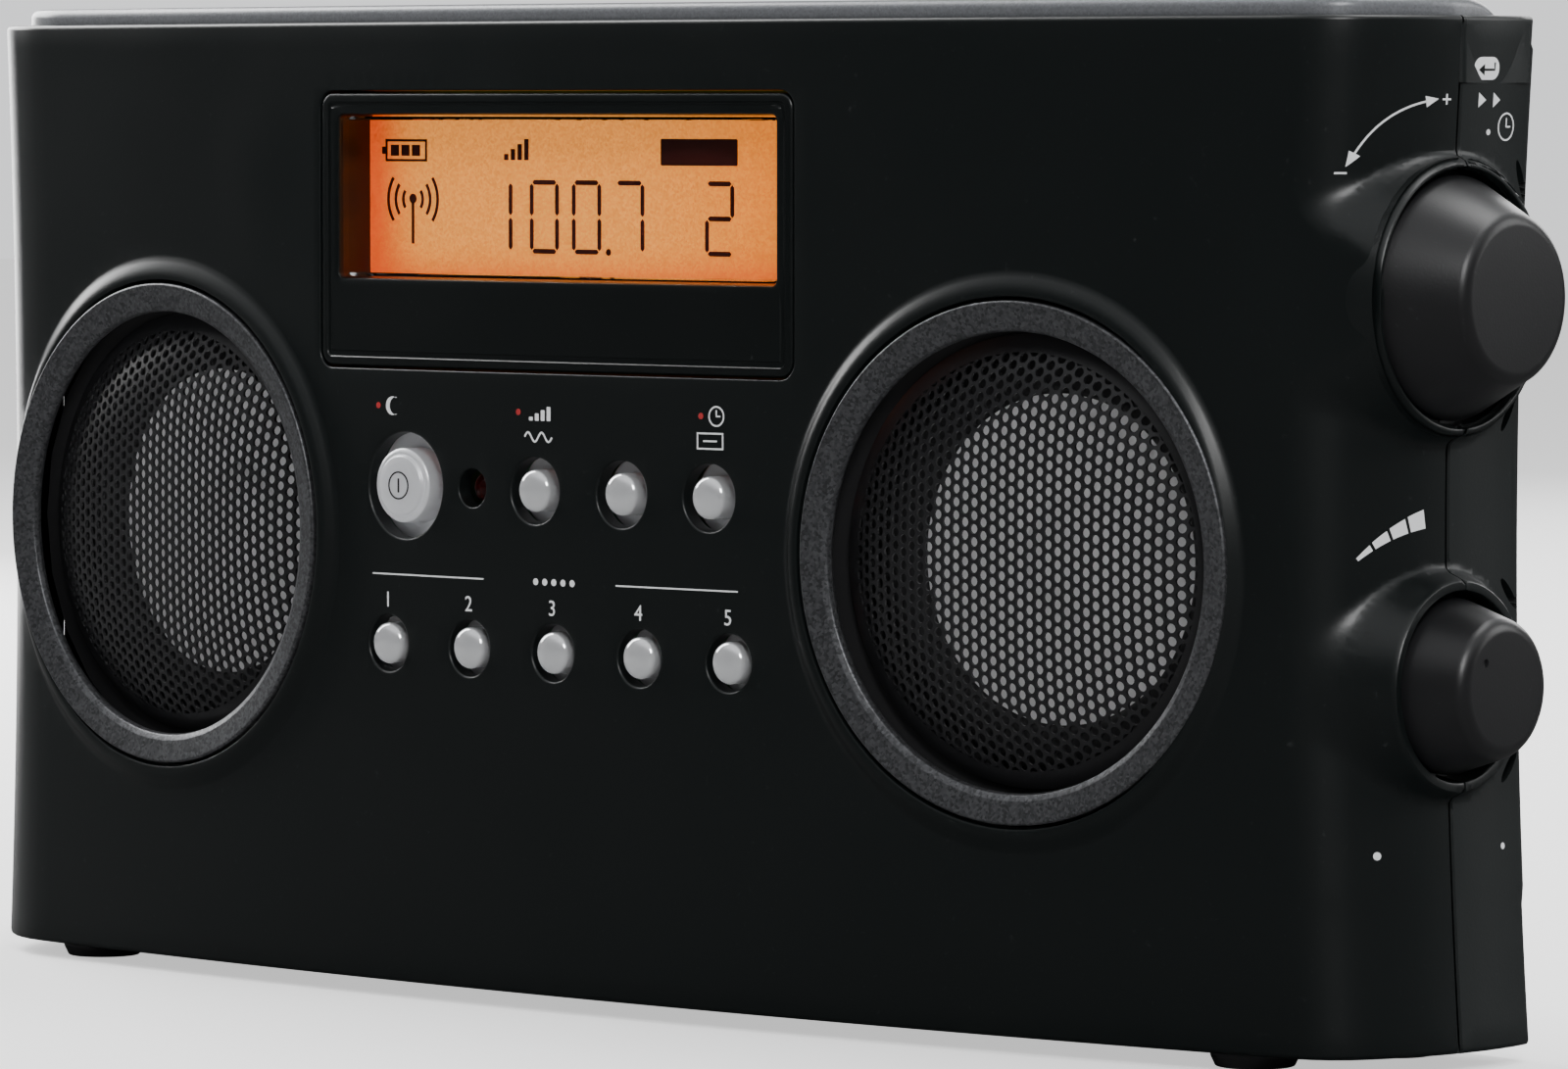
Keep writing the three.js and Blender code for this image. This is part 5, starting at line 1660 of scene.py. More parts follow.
def power_key():
    face = bow(POWER_X)
    _, high = layout("power_button")
    stem = high.y - face
    profile = rounded_profile([
        (0, stem, 0), (1.9, stem, 0.3), (1.9, 5.0, 0.3), (9.2, 5.0, 0.2), (9.2, 4.0, 0.2), (6.0, 4.0, 0.2),
        (6.0, -0.4, 0.5), (5.35, -0.75, 0.3), (5.0, -0.55, 0.2), (4.7, -1.15, 0.35), (3.6, -1.38, 1.5),
        (0, -1.42, 0)], 5)
    made = lathe("power_button_cap", profile, 96, along_y(POWER_X, KEY_Z, face))
    dress(made, MATERIALS["silver"], "power_button", "button_silver", "power_button")
    place = lambda a, b, h: (POWER_X + a, face + h, KEY_Z + b)
    marks = [stroke_outline(arc_line(0, 0, 2.15, 0, 359.9, 48), 0.24),
             rounded_box(-0.17, 0.17, -1.15, 1.15, 0.1, 0, 3)]
    pieces = [prism("mark", m, place, -1.47, -1.30) for m in marks]
    dress(join("power_button_mark", *pieces), MATERIALS["panel"], "power_button", "button_silver")


def keys():
    for i, x in enumerate(PRESETS):
        key("preset_button_%d" % (i + 1), x, PRESET_Z, 3.35, 4.5)
    for i, x in enumerate(FUNCTIONS):
        key("function_button_%d" % (i + 1), x, KEY_Z, 3.4, 5.25)
    power_key()
    _, high = layout("indicator_led")
    face = bow(LED_X)
    lamp = [(0, high.y), (2.5, high.y), (2.5, 3.6 + face)] + [
        (2.5 * math.cos(math.radians(a)), 3.6 + face - 1.5 * math.sin(math.radians(a)))
        for a in range(15, 90, 15)]
    made = lathe("indicator_lamp", lamp + [(0, 2.1 + face)], 32, along_y(LED_X, KEY_Z))
    dress(made, MATERIALS["lamp"], "casing", "lens_red", "indicator_led")


# ---- Knobs ----


def knob(spec, node_name, dimple=None):
    back = spec["plane"] - KNOB_SKIRT
    base, face, plane, tip = spec["base"], spec["face"], spec["plane"], spec["tip"]
    profile = rounded_profile([
        (0, back, 0), (base - 1.4, back, 0.2), (base - 0.05, back + 0.1, 0.3), (base, plane - 0.6, 1.2),
        (face, tip, 2.4), (0, tip - 0.05, 0)], 8)
    made = lathe(node_name + "_turned", profile, 128, along_x(KNOB_Y, spec["z"]))
    if dimple:
        press_dimple(made, spec, dimple)
    body = "tuning" if node_name == "tuning_knob" else "volume"
    dress(made, MATERIALS["knob"], body, "knob_black", node_name)


def press_dimple(obj, spec, dimple):
    """A small round pointer pressed into the knob's face."""
    away, turn, radius = dimple
    y = KNOB_Y + away * math.cos(math.radians(turn))
    z = spec["z"] + away * math.sin(math.radians(turn))
    cup = [(0, spec["tip"] - 0.55), (radius * 0.7, spec["tip"] - 0.4), (radius, spec["tip"] + 0.3),
           (0, spec["tip"] + 0.3)]
    tool = lathe("dimple_tool", cup, 24, along_x(y, z))
    cut_out(obj, [tool])


def knobs():
    knob(TUNING, "tuning_knob")
    knob(VOLUME, "volume_knob", (6.4, 140, 0.75))


# ---- Carry handle ----


def handle_stations():
    """Sections along the handle from the left pivot to the right: plan points and heights."""
    width, inset, left = HANDLE["width"], HANDLE["inset"], HANDLE["left"]
    stop = HANDLE["end"] - 3.2
    pair = lambda outer, inner: [(a, b) for a, b in zip(outer, inner) if max(a[1], b[1]) < stop]
    right = pair(right_half(inset), right_half(inset + width))
    left_side = pair(left_half(inset, left), left_half(inset + width, left + width))
    path = left_side[::-1] + right[1:]
    thin = [p for i, p in enumerate(path) if i % 2 == 0 or i in (0, len(path) - 1)]
    return [(a, b, HANDLE["top"], HANDLE["low"]) for a, b in thin]


def handle_section(outer, inner, top, low, edge=1.5, count=6):
    """A closed section with well-rounded top edges and slightly rounded lower ones."""
    outer, inner = Vector(outer), Vector(inner)
    across = (inner - outer).normalized()
    width = (inner - outer).length
    points = []
    for cx, cz, radius, start in ((width, top, edge, 0), (0, top, edge, 90), (0, low, 0.5, 180),
                                  (width, low, 0.5, 270)):
        mx = cx - radius if cx else radius
        mz = cz - radius if cz == top else cz + radius
        for i in range(count + 1):
            turn = math.radians(start + 90 * i / count)
            spot = outer + across * (mx + radius * math.cos(turn))
            points.append((spot.x, spot.y, mz + radius * math.sin(turn)))
    return points


def arm_end_sections(side):
    """The arm's end rounds down over its eye: sections fanned from the low inner edge."""
    x_low, x_high = arm_span(side)
    pivot_y, pivot_z = HANDLE["pivot"]
    start_y, top, low = HANDLE["end"] - 3.0, HANDLE["top"], HANDLE["low"]
    eye = 3.9
    tops = []
    for i in range(1, 11):
        t = i / 10
        a, b, c = (start_y, top), (pivot_y + eye, top), (pivot_y + eye, pivot_z)
        tops.append(tuple((1 - t) ** 2 * p + 2 * t * (1 - t) * q + t * t * r for p, q, r in zip(a, b, c)))
    for i in range(1, 9):
        turn = math.radians(-165 * i / 8)
        tops.append((pivot_y + eye * math.cos(turn), pivot_z + eye * math.sin(turn)))
    sections = []
    for i, (ty, tz) in enumerate(tops):
        share = (i + 1) / len(tops)
        by = start_y + (pivot_y - eye * 0.97 - start_y) * min(share * 1.6, 1)
        bz = low + (pivot_z + 0.8 - low) * min(share * 1.6, 1)
        sections.append(((ty, tz), (by, bz)))
    return x_low, x_high, sections


def fan_section(x_low, x_high, top_point, low_point, edge=1.5, count=6):
    """A section of the arm's end, in the same point order as handle_section."""
    base, peak = Vector(low_point), Vector(top_point)
    rise = peak - base
    height = max(rise.length, 0.4)
    up = rise / max(rise.length, 1e-6)
    edge = min(edge, height * 0.45)
    small = min(0.5, height * 0.2)
    points = []
    width = x_high - x_low
    for cx, ch, radius, start in ((width, height, edge, 0), (0, height, edge, 90), (0, 0, small, 180),
                                  (width, 0, small, 270)):
        mx = cx - radius if cx else radius
        mh = ch - radius if ch else radius
        for i in range(count + 1):
            turn = math.radians(start + 90 * i / count)
            h = mh + radius * math.sin(turn)
            spot = base + up * h
            points.append((x_low + mx + radius * math.cos(turn), spot.x, spot.y))
    return points


def carry_handle():
    stations = [handle_section(*s) for s in handle_stations()]
    count = len(stations[0])
    right_low, right_high, right_fan = arm_end_sections(1)
    right_sections = [mirror_order(fan_section(right_low, right_high, *s)) for s in right_fan]
    left_low, left_high, left_fan = arm_end_sections(-1)
    left_sections = [fan_section(left_low, left_high, *s) for s in left_fan]
    rings = left_sections[::-1] + stations + right_sections
    vertices = [p for ring in rings for p in ring]
    faces = []
    for i in range(len(rings) - 1):
        for j in range(count):
            a, b = i * count + j, i * count + (j + 1) % count
            faces.append((a, b, b + count, a + count))
    faces.append(tuple(range(count)))
    last = (len(rings) - 1) * count
    faces.append(tuple(last + i for i in reversed(range(count))))
    made = tidy_mesh(new_piece("carry_handle_bail", vertices, faces), merge=1e-7)
    dress(made, MATERIALS["handle"], "handle", "handle_grey", "carry_handle")


def mirror_order(points, count=6):
    """Reorders a section so that its outer side is at high X, as on the right arm."""
    quarter = count + 1
    corners = [points[i * quarter:(i + 1) * quarter] for i in range(4)]
    return corners[1][::-1] + corners[0][::-1] + corners[3][::-1] + corners[2][::-1]


# ---- Aerial, back and underside ----


def aerial():
    _, y, z = centre("aerial_section_1")
    radii = (3.2, 2.55, 1.9, 1.25)
    inner = (2.75, 2.1, 1.45, 0.0)
    for i, radius in enumerate(radii):
        name = "aerial_section_%d" % (i + 1)
        low, high = layout(name)
        body = "aerial_arm" if i == 0 else "aerial_tube_%d" % (i + 1)
        if i < 3:
            profile = rounded_profile([
                (0, low.x, 0), (radius, low.x, 0.2), (radius, high.x - 0.3, 0.2),
                (radius - 0.15, high.x, 0.1),
                (inner[i], high.x, 0.1), (inner[i], low.x + 1.5, 0), (0, low.x + 1.5, 0)], 4)
        else:
            tip = high.x
            profile = rounded_profile([
                (0, low.x, 0), (radius, low.x, 0.2), (radius, tip - 5.4, 0.1), (2.5, tip - 5.2, 0.5),
                (2.5, tip - 0.3, 1.2),
                (0, tip - 0.02, 0)], 6)
        made = lathe(name + "_tube", profile, 48, along_x(y, z))
        dress(made, MATERIALS["aerial"], body, "aerial_chrome", name)
    for name in ("aerial_base", "aerial_elbow"):
        repaint(name, "aerial")


def repaint(name, material):
    """A better material on a CAD node whose shape is right."""
    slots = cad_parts[name].material_slots
    if not slots:
        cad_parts[name].data.materials.append(MATERIALS[material])
    for item in slots:
        item.material = MATERIALS[material]


def screw(name):
    low, high = layout(name)
    x, _, z = centre(name)
    head, thick = 3.2, 1.7
    profile = rounded_profile([
        (0, low.y, 0), (1.2, low.y + 0.6, 0.2), (1.5, low.y + 2, 0.2), (1.5, high.y - thick, 0.2),
        (head, high.y - thick, 0.15), (head, high.y - 0.5, 0.4), (2.2, high.y - 0.02, 1.0),
        (0, high.y - 0.01, 0)], 4)
    made = lathe(name + "_turned", profile, 40, along_y(x, z))
    slots = [rounded_box(-a, a, -b, b, 0.15, 0, 3) for a, b in ((1.9, 0.38), (0.38, 1.9))]
    cut_out(made, [prism("slot", slot, along_y(x, z), high.y - 1.0, high.y + 1) for slot in slots])
    dress(made, MATERIALS["steel"], "casing", "steel", name)


def rib_tree():
    """Geometry nodes: one bar repeated along a line."""
    tree = bpy.data.node_groups.new("grip_ribs", "GeometryNodeTree")
    face = tree.interface
    face.new_socket("Geometry", in_out="OUTPUT", socket_type="NodeSocketGeometry")
    for title, value in (("Length", 0.03), ("Width", 0.0009), ("Height", 0.0006), ("Pitch", 0.002)):
        face.new_socket(title, in_out="INPUT", socket_type="NodeSocketFloat").default_value = value
    face.new_socket("Count", in_out="INPUT", socket_type="NodeSocketInt").default_value = 8
    face.new_socket("Material", in_out="INPUT", socket_type="NodeSocketMaterial")
    source, sink = tree.nodes.new("NodeGroupInput"), tree.nodes.new("NodeGroupOutput")
    line = node(tree, "GeometryNodeMeshLine")
    link(tree, source.outputs["Count"], line.inputs["Count"])
    step = node(tree, "ShaderNodeCombineXYZ")
    link(tree, source.outputs["Pitch"], step.inputs[2])
    link(tree, step.outputs[0], line.inputs["Offset"])
    size = node(tree, "ShaderNodeCombineXYZ")
    for i, title in enumerate(("Length", "Height", "Width")):
        link(tree, source.outputs[title], size.inputs[i])
    bar = node(tree, "GeometryNodeMeshCube")
    link(tree, size.outputs[0], bar.inputs["Size"])
    copies = node(tree, "GeometryNodeInstanceOnPoints")
    link(tree, line.outputs[0], copies.inputs["Points"])
    link(tree, bar.outputs["Mesh"], copies.inputs["Instance"])
    real = node(tree, "GeometryNodeRealizeInstances")
    link(tree, copies.outputs[0], real.inputs[0])
    painted = node(tree, "GeometryNodeSetMaterial")
    link(tree, real.outputs[0], painted.inputs["Geometry"])
    link(tree, source.outputs["Material"], painted.inputs["Material"])
    link(tree, painted.outputs[0], sink.inputs[0])
    return tree


def battery_door():
    x0, x1, z0, z1 = door_box()
    s0, s1 = back_along(x1), back_along(x0)
    sheet = Sheet(s0 - 0.5, s1 + 0.5, z0 - 0.5, z1 + 0.5)
    edge = [(0.0, 1.4), (-0.03, 0.45), (-0.12, 0.22), (-0.3, 0.06), (-0.5, 0.0)]
    sheet.box_feature((s0, s1, z0, z1, 0.6), edge, False)
    outer = rounded_box(s0, s1, z0, z1, 0.6)
    sheet.drops.append(lambda a, b: not inside_loop(outer, a, b))
    grip_s, grip_v = (s0 + s1) / 2, z1 - 12
    dish = [(9.0, 0.0), (8.4, 0.08), (7.4, 0.45), (6.0, 0.85), (4.0, 1.1), (0.6, 1.2)]
    sheet.round_feature(grip_s, grip_v, dish, False, 40)
    for a in spread(s0 + 2, s1 - 2, 4):
        for b in spread(z0 + 2, z1 - 2, 4):
            if math.hypot(a - grip_s, b - grip_v) > 9.3:
                sheet.points.append((a, b))
    door = sheet_piece("battery_door_panel", *sheet.build(on_case), False, 0.9)
    dress(door, MATERIALS["rear"], "battery_cover", "case_black", "battery_door")
    sizes = bpy.context.scene.radio_sizes
    carrier = new_piece("battery_door_ribs", [Vector((0, 0, 0))], [], metres=True)
    modifier = carrier.modifiers.new("Ribs", "NODES")
    tree = rib_tree()
    modifier.node_group = tree
    count = 5
    set_inputs(modifier, tree, Length=0.010, Width=0.0008, Height=0.0009, Pitch=sizes.rib_pitch, Count=count,
               Material=MATERIALS["rear"])
    apply_modifiers(carrier)
    spot = on_case(grip_s, grip_v, 0.75)
    base = at(spot.x, spot.y, grip_v - sizes.rib_pitch * 1000 * (count - 1) / 2)
    carrier.data.transform(Matrix.Translation(base))
    tidy_mesh(carrier, merge=1e-8)
    dress(carrier, MATERIALS["rear"], "battery_cover", "case_black")


def feet():
    for name in ("foot_front_left", "foot_front_right", "foot_rear_left", "foot_rear_right"):
        low, high = layout(name)
        x, y, _ = centre(name)
        profile = rounded_profile([
            (0, low.z, 0), (6.0, low.z, 0.5), (6.75, low.z + 1.6, 0.6), (7.0, high.z, 0.1), (0, high.z, 0)],
            5)
        made = lathe(name + "_pad", profile, 48, along_z(x, y))
        dress(made, MATERIALS["rubber"], "casing", "foot_rubber", name)


def inner_pieces():
    plain = {
        "steel": ["tuning_shaft", "volume_shaft", "handle_pin_left", "handle_pin_right", "tuning_encoder",
                  "volume_pot",
                  "speaker_magnet_left", "speaker_magnet_right"],
        "inner": ["speaker_basket_left", "speaker_basket_right", "battery_box", *JACKS],
        "board": ["main_board", "button_board"],
        "ferrite": ["ferrite_rod"],
        "cell": ["battery_1", "battery_2", "battery_3", "battery_4"],
    }
    for material, names in plain.items():
        for name in names:
            repaint(name, material)


# ---- Printed marks ----


def mark_thickness():
    return bpy.context.scene.radio_sizes.mark_thickness * 1000


def decal(outline, place, low, high, step=1.2):
    """A thin closed mark that follows the surface place(a, b, height) describes."""
    dense = []
    for p, q in zip(outline, outline[1:] + outline[:1]):
        count = max(1, math.ceil(math.dist(p, q) / step))
        dense += [(p[0] + (q[0] - p[0]) * i / count, p[1] + (q[1] - p[1]) * i / count) for i in range(count)]
    across, up = zip(*dense)
    points = [Vector(p) for p in dense]
    points += [Vector((a, b)) for a in spread(min(across), max(across), step)
               for b in spread(min(up), max(up), step) if inside_loop(dense, a, b)]
    edges = [(i, (i + 1) % len(dense)) for i in range(len(dense))]
    found, _, faces, *_ = delaunay_2d_cdt(points, edges, [], 0, 1e-5)
    kept = [f for f in faces if inside_loop(dense, *(sum(found[i][k] for i in f) / len(f) for k in (0, 1)))]
    body = bmesh.new()
    top = [body.verts.new(at(*place(p.x, p.y, high))) for p in found]
    base = [body.verts.new(at(*place(p.x, p.y, low))) for p in found]
    for face in kept:
        body.faces.new([top[i] for i in face])
        body.faces.new([base[i] for i in reversed(face)])
    rims = [e for e in body.edges if len(e.link_faces) == 1 and e.verts[0] in set(top)]
    twin = dict(zip(top, base))
    for edge in rims:
        a, b = edge.verts
        body.faces.new((a, b, twin[b], twin[a]))
    bmesh.ops.delete(body, geom=[v for v in body.verts if not v.link_faces], context="VERTS")
    return tidy_mesh(from_bmesh("mark", body), merge=1e-8)


def front_mark(outline):
    """A printed mark on the bowed front."""
    thick = mark_thickness()
    return decal(outline, lambda a, b, h: (a, bow(a) - h, b), -thick, thick, 3.0)


def digit_mesh(text, x, z, height):
    """A printed figure on the front, centred on a place."""
    curve = bpy.data.curves.new("figure", "FONT")
    curve.body = text
    curve.align_x = "CENTER"
    curve.size = height / 0.72
    curve.resolution_u = 4
    holder = new_object("figure", curve)
    graph = bpy.context.evaluated_depsgraph_get()
    mesh = bpy.data.meshes.new_from_object(holder.evaluated_get(graph), depsgraph=graph)
    bpy.data.objects.remove(holder)
    bpy.data.curves.remove(curve)
    thick = mark_thickness()
    body = bmesh.new()
    body.from_mesh(mesh)
    bpy.data.meshes.remove(mesh)
    solid = bmesh.ops.extrude_face_region(body, geom=body.faces[:])
    raised = [g for g in solid["geom"] if isinstance(g, bmesh.types.BMVert)]
    for vertex in raised:
        vertex.co.z = 2 * thick
    for vertex in body.verts:
        a, b, h = vertex.co
        vertex.co = at(x + a, bow(x + a) + thick - h, z + b)
    return tidy_mesh(from_bmesh("figure", body), merge=1e-8)


def side_mark(outline, low=-1.0, high=1.0):
    """A printed mark on the right side; its outline is in depth and height."""
    thick = mark_thickness()
    return decal(outline, lambda y, z, h: on_case(side_along(y), z, -h), low * thick, high * thick)


def front_marks():
    pieces = []
    for i, x in enumerate(PRESETS):
        pieces.append(digit_mesh(str(i + 1), x, 60.7, 2.55))
    lines = [[(-40.9 + i * 25.6 / 12, 66) for i in range(13)],
             [(13.8 + i * 25.6 / 12, 66) for i in range(13)]]
    pieces += [front_mark(stroke_outline(line, 0.24)) for line in lines]
    outlines = [circle_outline(0.4 + dx, 66, 0.55, 16) for dx in (-4, -2, 0, 2, 4)]
    outlines += moon_symbol(-36.2, 93.2) + steps_symbol(-2.6, 92.6) + wave_mark(-3.0, 89.0)
    outlines += clock_symbol(35.0, 93.2, 1.5) + window_symbol(33.7, 89.3)
    pieces += [front_mark(o) for o in outlines]
    dress(join("front_marks", *pieces), MATERIALS["marks"], "casing", "case_black")
    dots = [front_mark(circle_outline(x, z, 0.5, 16)) for x, z in ((-39.5, 93.2), (-7.4, 92.9), (31.8, 93.2))]
    dress(join("front_red_marks", *dots), MATERIALS["red_marks"], "casing", "case_black")


def moon_symbol(x, z):
    outer = arc_line(x, z, 1.5, 60, 300, 20)
    inner = arc_line(x + 0.75, z, 1.42, 285, 75, 20)
    return [outer + inner]


def steps_symbol(x, z):
    return [rounded_box(x - 2.4 + 1.3 * i, x - 1.6 + 1.3 * i, z - 1.0, z - 0.4 + 0.55 * i, 0.1, 0, 2)
            for i in range(4)]


def wave_mark(x, z):
    points = [(x - 3 + 6 * i / 24, z + 0.75 * math.sin(2 * math.pi * 2 * i / 24)) for i in range(25)]
    return [stroke_outline(points, 0.32)]


def clock_symbol(x, z, radius):
    return [stroke_outline(arc_line(x, z, radius, 0, 359.9, 32), 0.26),
            stroke_outline([(x, z - 0.1), (x, z + radius * 0.65)], 0.24),
            stroke_outline([(x - 0.05, z), (x + radius * 0.55, z)], 0.24)]


def window_symbol(x, z):
    return [stroke_outline(line, 0.26) for line in (
        [(x - 2.6, z - 1.2), (x + 2.6, z - 1.2)], [(x - 2.6, z + 1.2), (x + 2.6, z + 1.2)],
        [(x - 2.6, z - 1.33), (x - 2.6, z + 1.33)], [(x + 2.6, z - 1.33), (x + 2.6, z + 1.33)],
        [(x - 1.4, z), (x + 1.4, z)])]


def side_marks():
    """Tuning arc with its arrow heads and signs, volume wedge, end dots, and the set and seek symbols."""
    ends = [Vector(p) for p in ((14.4, 133.8), (17.9, 141.0), (26.4, 142.3))]
    arc = []
    for i in range(21):
        t = i / 20
        arc.append(tuple(ends[0] * (1 - t) ** 2 + ends[1] * 2 * t * (1 - t) + ends[2] * t * t))
    outlines = [stroke_outline(arc[1:-1], 0.3), arrow_head(arc[0], arc[2], 2.3, 0.85),
                arrow_head(arc[-1], arc[-3], 2.3, 0.85)]
    outlines += [stroke_outline([(28.6, 142.5), (30.2, 142.5)], 0.28),
                 stroke_outline([(29.4, 141.7), (29.4, 143.3)], 0.28)]
    outlines += [stroke_outline([(12.5, 131.6), (13.9, 131.6)], 0.3)]
    pieces = [side_mark(o) for o in outlines]
    dress(join("tuning_marks", *pieces), MATERIALS["marks"], "casing", "case_black")
    wedge = []
    for i in range(4):
        start, end = 37 - 7.6 * i, 37 - 7.6 * i - 6.4
        inner, thick = 23.8, 0.5 + 0.62 * i
        ring = [(start + (end - start) * k / 6) for k in range(7)]
        point = lambda t, r: (KNOB_Y - r * math.sin(math.radians(t)),
                              VOLUME["z"] + r * math.cos(math.radians(t)))
        wedge.append([point(t, inner) for t in ring] + [point(t, inner + thick + 0.08 * k) for k,
                                                        t in enumerate(ring)][::-1])
    dots = [circle_outline(18.8, 30.2, 0.62, 16), circle_outline(44.0, 30.4, 0.5, 16)]
    pieces = [side_mark(o) for o in wedge + dots]
    dress(join("volume_marks", *pieces), MATERIALS["marks"], "casing", "case_black")
    pill = rounded_box(34.6, 40.4, 145.4, 148.8, 1.65, 0, 8)
    symbols = clock_symbol(43.0, 138.4, 2.0) + [circle_outline(38.6, 137.6, 0.45, 14)]
    symbols += [arrow_outline(36.0, 142.4, 1), arrow_outline(39.4, 142.4, 1)]
    pieces = [side_mark(o) for o in [pill] + symbols]
    dress(join("seek_marks", *pieces), MATERIALS["marks"], "casing", "case_black")
    enter = [stroke_outline([(39.3, 148.0), (39.3, 146.9), (36.6, 146.9)], 0.34),
             arrow_outline(36.9, 146.9, -1, 0.85)]
    pieces = [side_mark(o, 1.0, 2.2) for o in enter]
    dress(join("seek_symbol", *pieces), MATERIALS["panel"], "casing", "case_black")


def arrow_head(tip_from, back_from, length, half):
    tip, back = Vector(tip_from), Vector(back_from)
    along = (tip - back).normalized()
    side = Vector((-along.y, along.x)) * half
    base = tip - along * length * 0.35
    return [tuple(base + along * length), tuple(base + side), tuple(base - side)]


def arrow_outline(y, z, way, size=1.1):
    return [(y + way * size * 1.5, z), (y, z + size), (y, z - size)]


# ---- Stage ----


def area_light(name, place, target, size, power):
    data = bpy.data.lights.new(name, "AREA")
    data.shape = "RECTANGLE"
    data.size, data.size_y = size
    data.energy = power
    obj = new_object(name, data)
    obj.location = place
    obj.rotation_euler = (Vector(target) - Vector(place)).to_track_quat("-Z", "Y").to_euler()


def make_stage():
    scene = bpy.context.scene
    floor_z = CAD_BOX[0][2] - 0.0001
    size = 5.0
    floor = new_piece("floor", [Vector((x, y, floor_z)) for x,
                                y in ((-size, -size), (size, -size), (size, size), (-size, size))],
                      [(0, 1, 2, 3)], metres=True)
    material, tree, shader = new_material("floor_pale")
    rays = tree.nodes.new("ShaderNodeLightPath")
    pale = mixed(tree, rays.outputs["Is Glossy Ray"], (0.90, 0.90, 0.90), (0.05, 0.05, 0.05))
    link(tree, pale, shader.inputs["Base Color"])
    shader.inputs["Roughness"].default_value = 0.75
    shader.inputs["Specular IOR Level"].default_value = 0.1
    shader.inputs["Emission Color"].default_value = (1, 1, 1, 1)
    link(tree, mixed(tree, rays.outputs["Is Camera Ray"], 0.0, 0.75, "FLOAT"),
         shader.inputs["Emission Strength"])
    floor.data.materials.append(material)
    world = bpy.data.worlds.new("studio")
    scene.world = world
    world.use_nodes = True
    tree = world.node_tree
    tree.nodes.clear()
    rays, sink = tree.nodes.new("ShaderNodeLightPath"), tree.nodes.new("ShaderNodeOutputWorld")
    shown = []
    for strength in (0.30, 0.04, 1.15):
        shown.append(tree.nodes.new("ShaderNodeBackground"))
        shown[-1].inputs["Color"].default_value = (0.97, 0.98, 1.0, 1)
        shown[-1].inputs["Strength"].default_value = strength
    previous = shown[0].outputs[0]
    direction, split = tree.nodes.new("ShaderNodeTexCoord"), tree.nodes.new("ShaderNodeSeparateXYZ")
    link(tree, direction.outputs["Generated"], split.inputs["Vector"])
    sky = node(tree, "ShaderNodeMapRange", interpolation_type="SMOOTHSTEP")
    for title, value in (("From Min", 0.30), ("From Max", 0.75), ("To Min", 0.04), ("To Max", 0.75)):
        sky.inputs[title].default_value = value
    link(tree, split.outputs["Z"], sky.inputs["Value"])
    link(tree, sky.outputs["Result"], shown[1].inputs["Strength"])
    for title, background in (("Is Glossy Ray", shown[1]), ("Is Camera Ray", shown[2])):
        mix = tree.nodes.new("ShaderNodeMixShader")
        link(tree, rays.outputs[title], mix.inputs[0])
        link(tree, previous, mix.inputs[1])
        link(tree, background.outputs[0], mix.inputs[2])
        previous = mix.outputs[0]
    link(tree, previous, sink.inputs["Surface"])
    centre = (0.0, 0.0, 0.08)
    area_light("key", (1.15, -0.95, 1.0), centre, (0.5, 0.5), 13)
    area_light("upper_left", (-1.2, 0.0, 0.85), centre, (0.6, 1.1), 26)
    area_light("left_edge", (-1.2, 0.5, 0.35), centre, (0.3, 0.9), 10)
    area_light("right_back", (1.2, 1.3, 0.75), centre, (0.6, 0.9), 9)
    area_light("top", (0.2, 0.5, 1.5), centre, (1.2, 0.6), 12)
    area_light("back", (-0.5, 1.6, 0.7), centre, (1.2, 0.6), 12)


def make_camera():
    data = bpy.data.cameras.new("camera")
    data.sensor_width = 36
    data.lens = 8771.9 / 1600 * 36
    data.clip_end = 20
    camera = new_object("camera", data)
    camera.location = at(943.6, -981.3, 141.86)
    camera.rotation_euler = (math.radians(90 - 2.87), 0, 0.7388)
    bpy.context.scene.camera = camera


# ---- Operators ----


def operator(identifier, label, text, *steps):
    """An operator class that runs some of the functions above in order."""

    def execute(self, context):
        for step in steps:
            step()
        return {"FINISHED"}

    return type("RADIO_OT_" + identifier, (bpy.types.Operator,), {
        "bl_idname": "radio." + identifier, "bl_label": label, "__doc__": text, "execute": execute})


def load_materials():
    MATERIALS.update(make_materials())


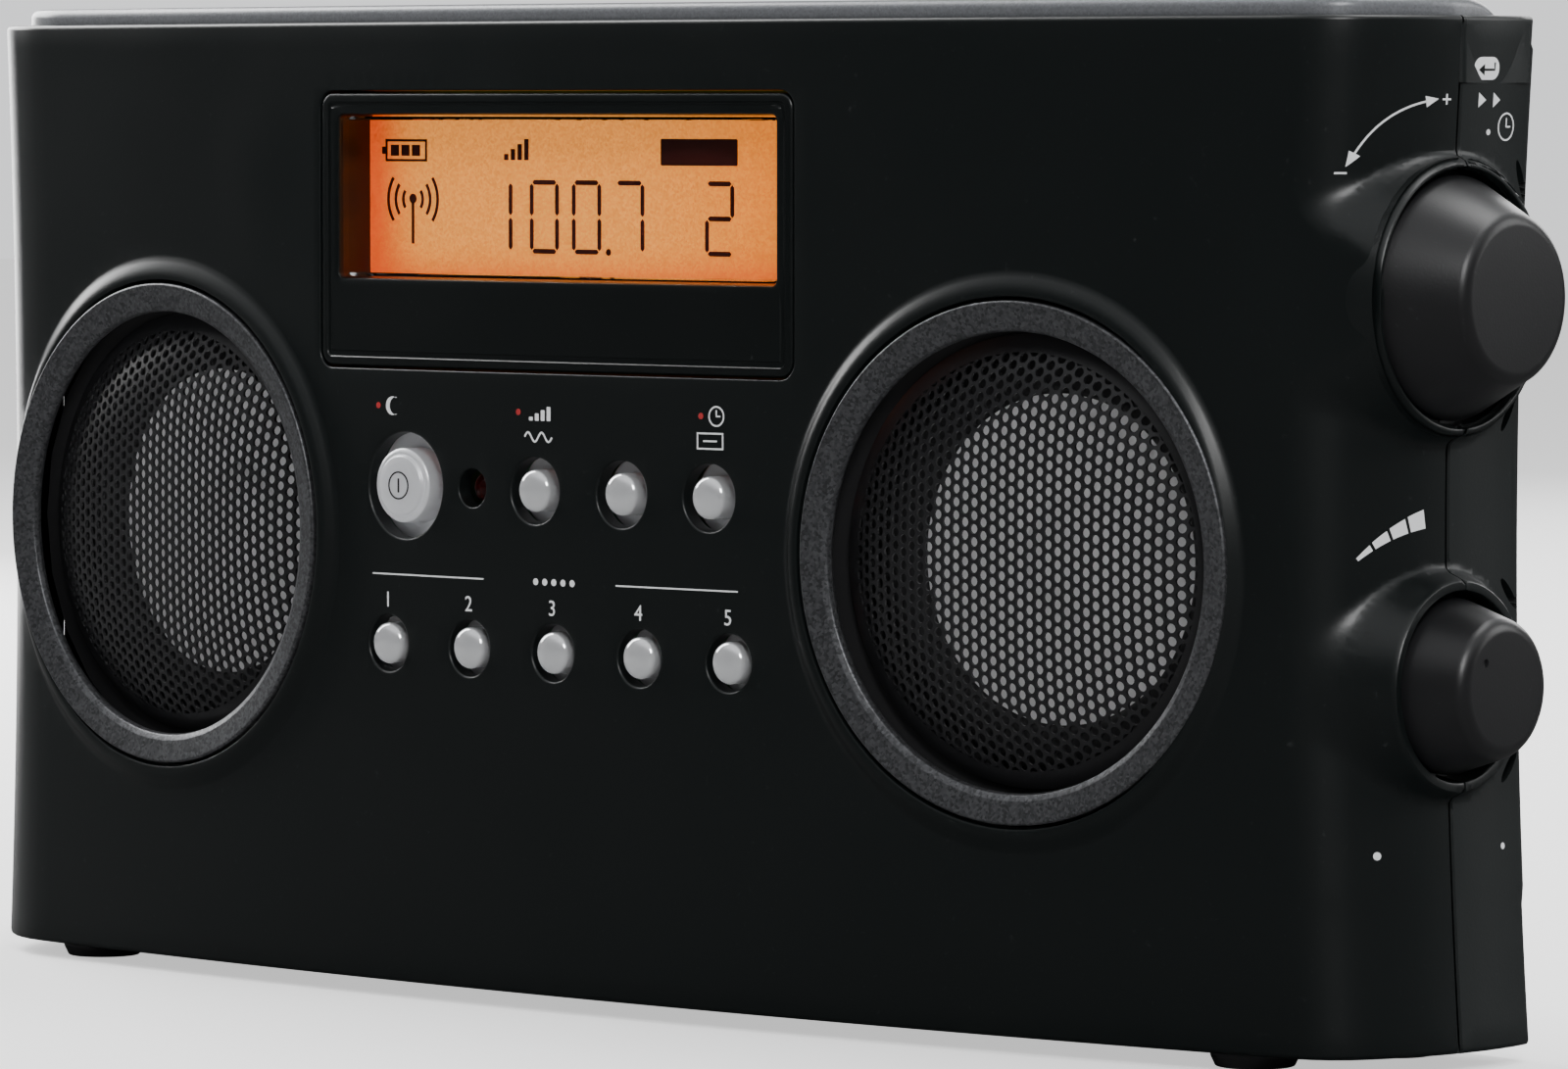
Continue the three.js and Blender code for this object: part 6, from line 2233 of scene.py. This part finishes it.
OPERATORS = [
    operator("stage", "Make stage", "Camera, pale floor and soft lights", make_camera, make_stage),
    operator("materials", "Make finishes", "Every finish of the radio", load_materials),
    operator("front_shell", "Make front shell", "Bowed front with bezels, wells and bosses", front_shell),
    operator("rear_shell", "Make rear shell", "Rear shell with its screws' wells, vents and rebate",
             rear_shell),
    operator("speakers", "Make speakers", "Trim rings, perforated grilles and cones",
             lambda: speaker(-1, "left"), lambda: speaker(1, "right")),
    operator("display", "Make display", "Panel, window, lit cell and its segments", display),
    operator("keys", "Make keys", "Power key, function keys, presets and lamp", keys),
    operator("knobs", "Make knobs", "Tuning and volume knobs", knobs),
    operator("handle", "Make handle", "Folding carry handle", carry_handle),
    operator("aerial", "Make aerial", "Telescopic aerial", aerial),
    operator("back", "Make back", "Battery door, rear screws and feet",
             battery_door, lambda: [screw(name) for name in SCREWS], feet),
    operator("inside", "Finish inside", "Finishes of the pieces inside", inner_pieces),
    operator("marks", "Make marks", "Printed marks on the front and the side", front_marks, side_marks),
]


class RADIO_PT_panel(bpy.types.Panel):
    """Lists the radio's operators and sizes."""

    bl_label = "Table Radio"
    bl_space_type = "VIEW_3D"
    bl_region_type = "UI"
    bl_category = "Radio"

    def draw(self, context):
        for made in OPERATORS:
            self.layout.operator(made.bl_idname)
        for group in (context.scene.radio_sizes, context.scene.radio_colours):
            for name in group.bl_rna.properties.keys():
                if name not in ("rna_type", "name"):
                    self.layout.prop(group, name)


CLASSES = [RadioSizes, RadioColours, *OPERATORS, RADIO_PT_panel]


def register():
    for made in CLASSES:
        bpy.utils.register_class(made)
    bpy.types.Scene.radio_sizes = PointerProperty(type=RadioSizes)
    bpy.types.Scene.radio_colours = PointerProperty(type=RadioColours)


def unregister():
    del bpy.types.Scene.radio_colours
    del bpy.types.Scene.radio_sizes
    for made in reversed(CLASSES):
        bpy.utils.unregister_class(made)


def main():
    register()
    for made in OPERATORS:
        getattr(bpy.ops.radio, made.bl_idname.split(".")[1])()


if __name__ == "__main__":
    main()
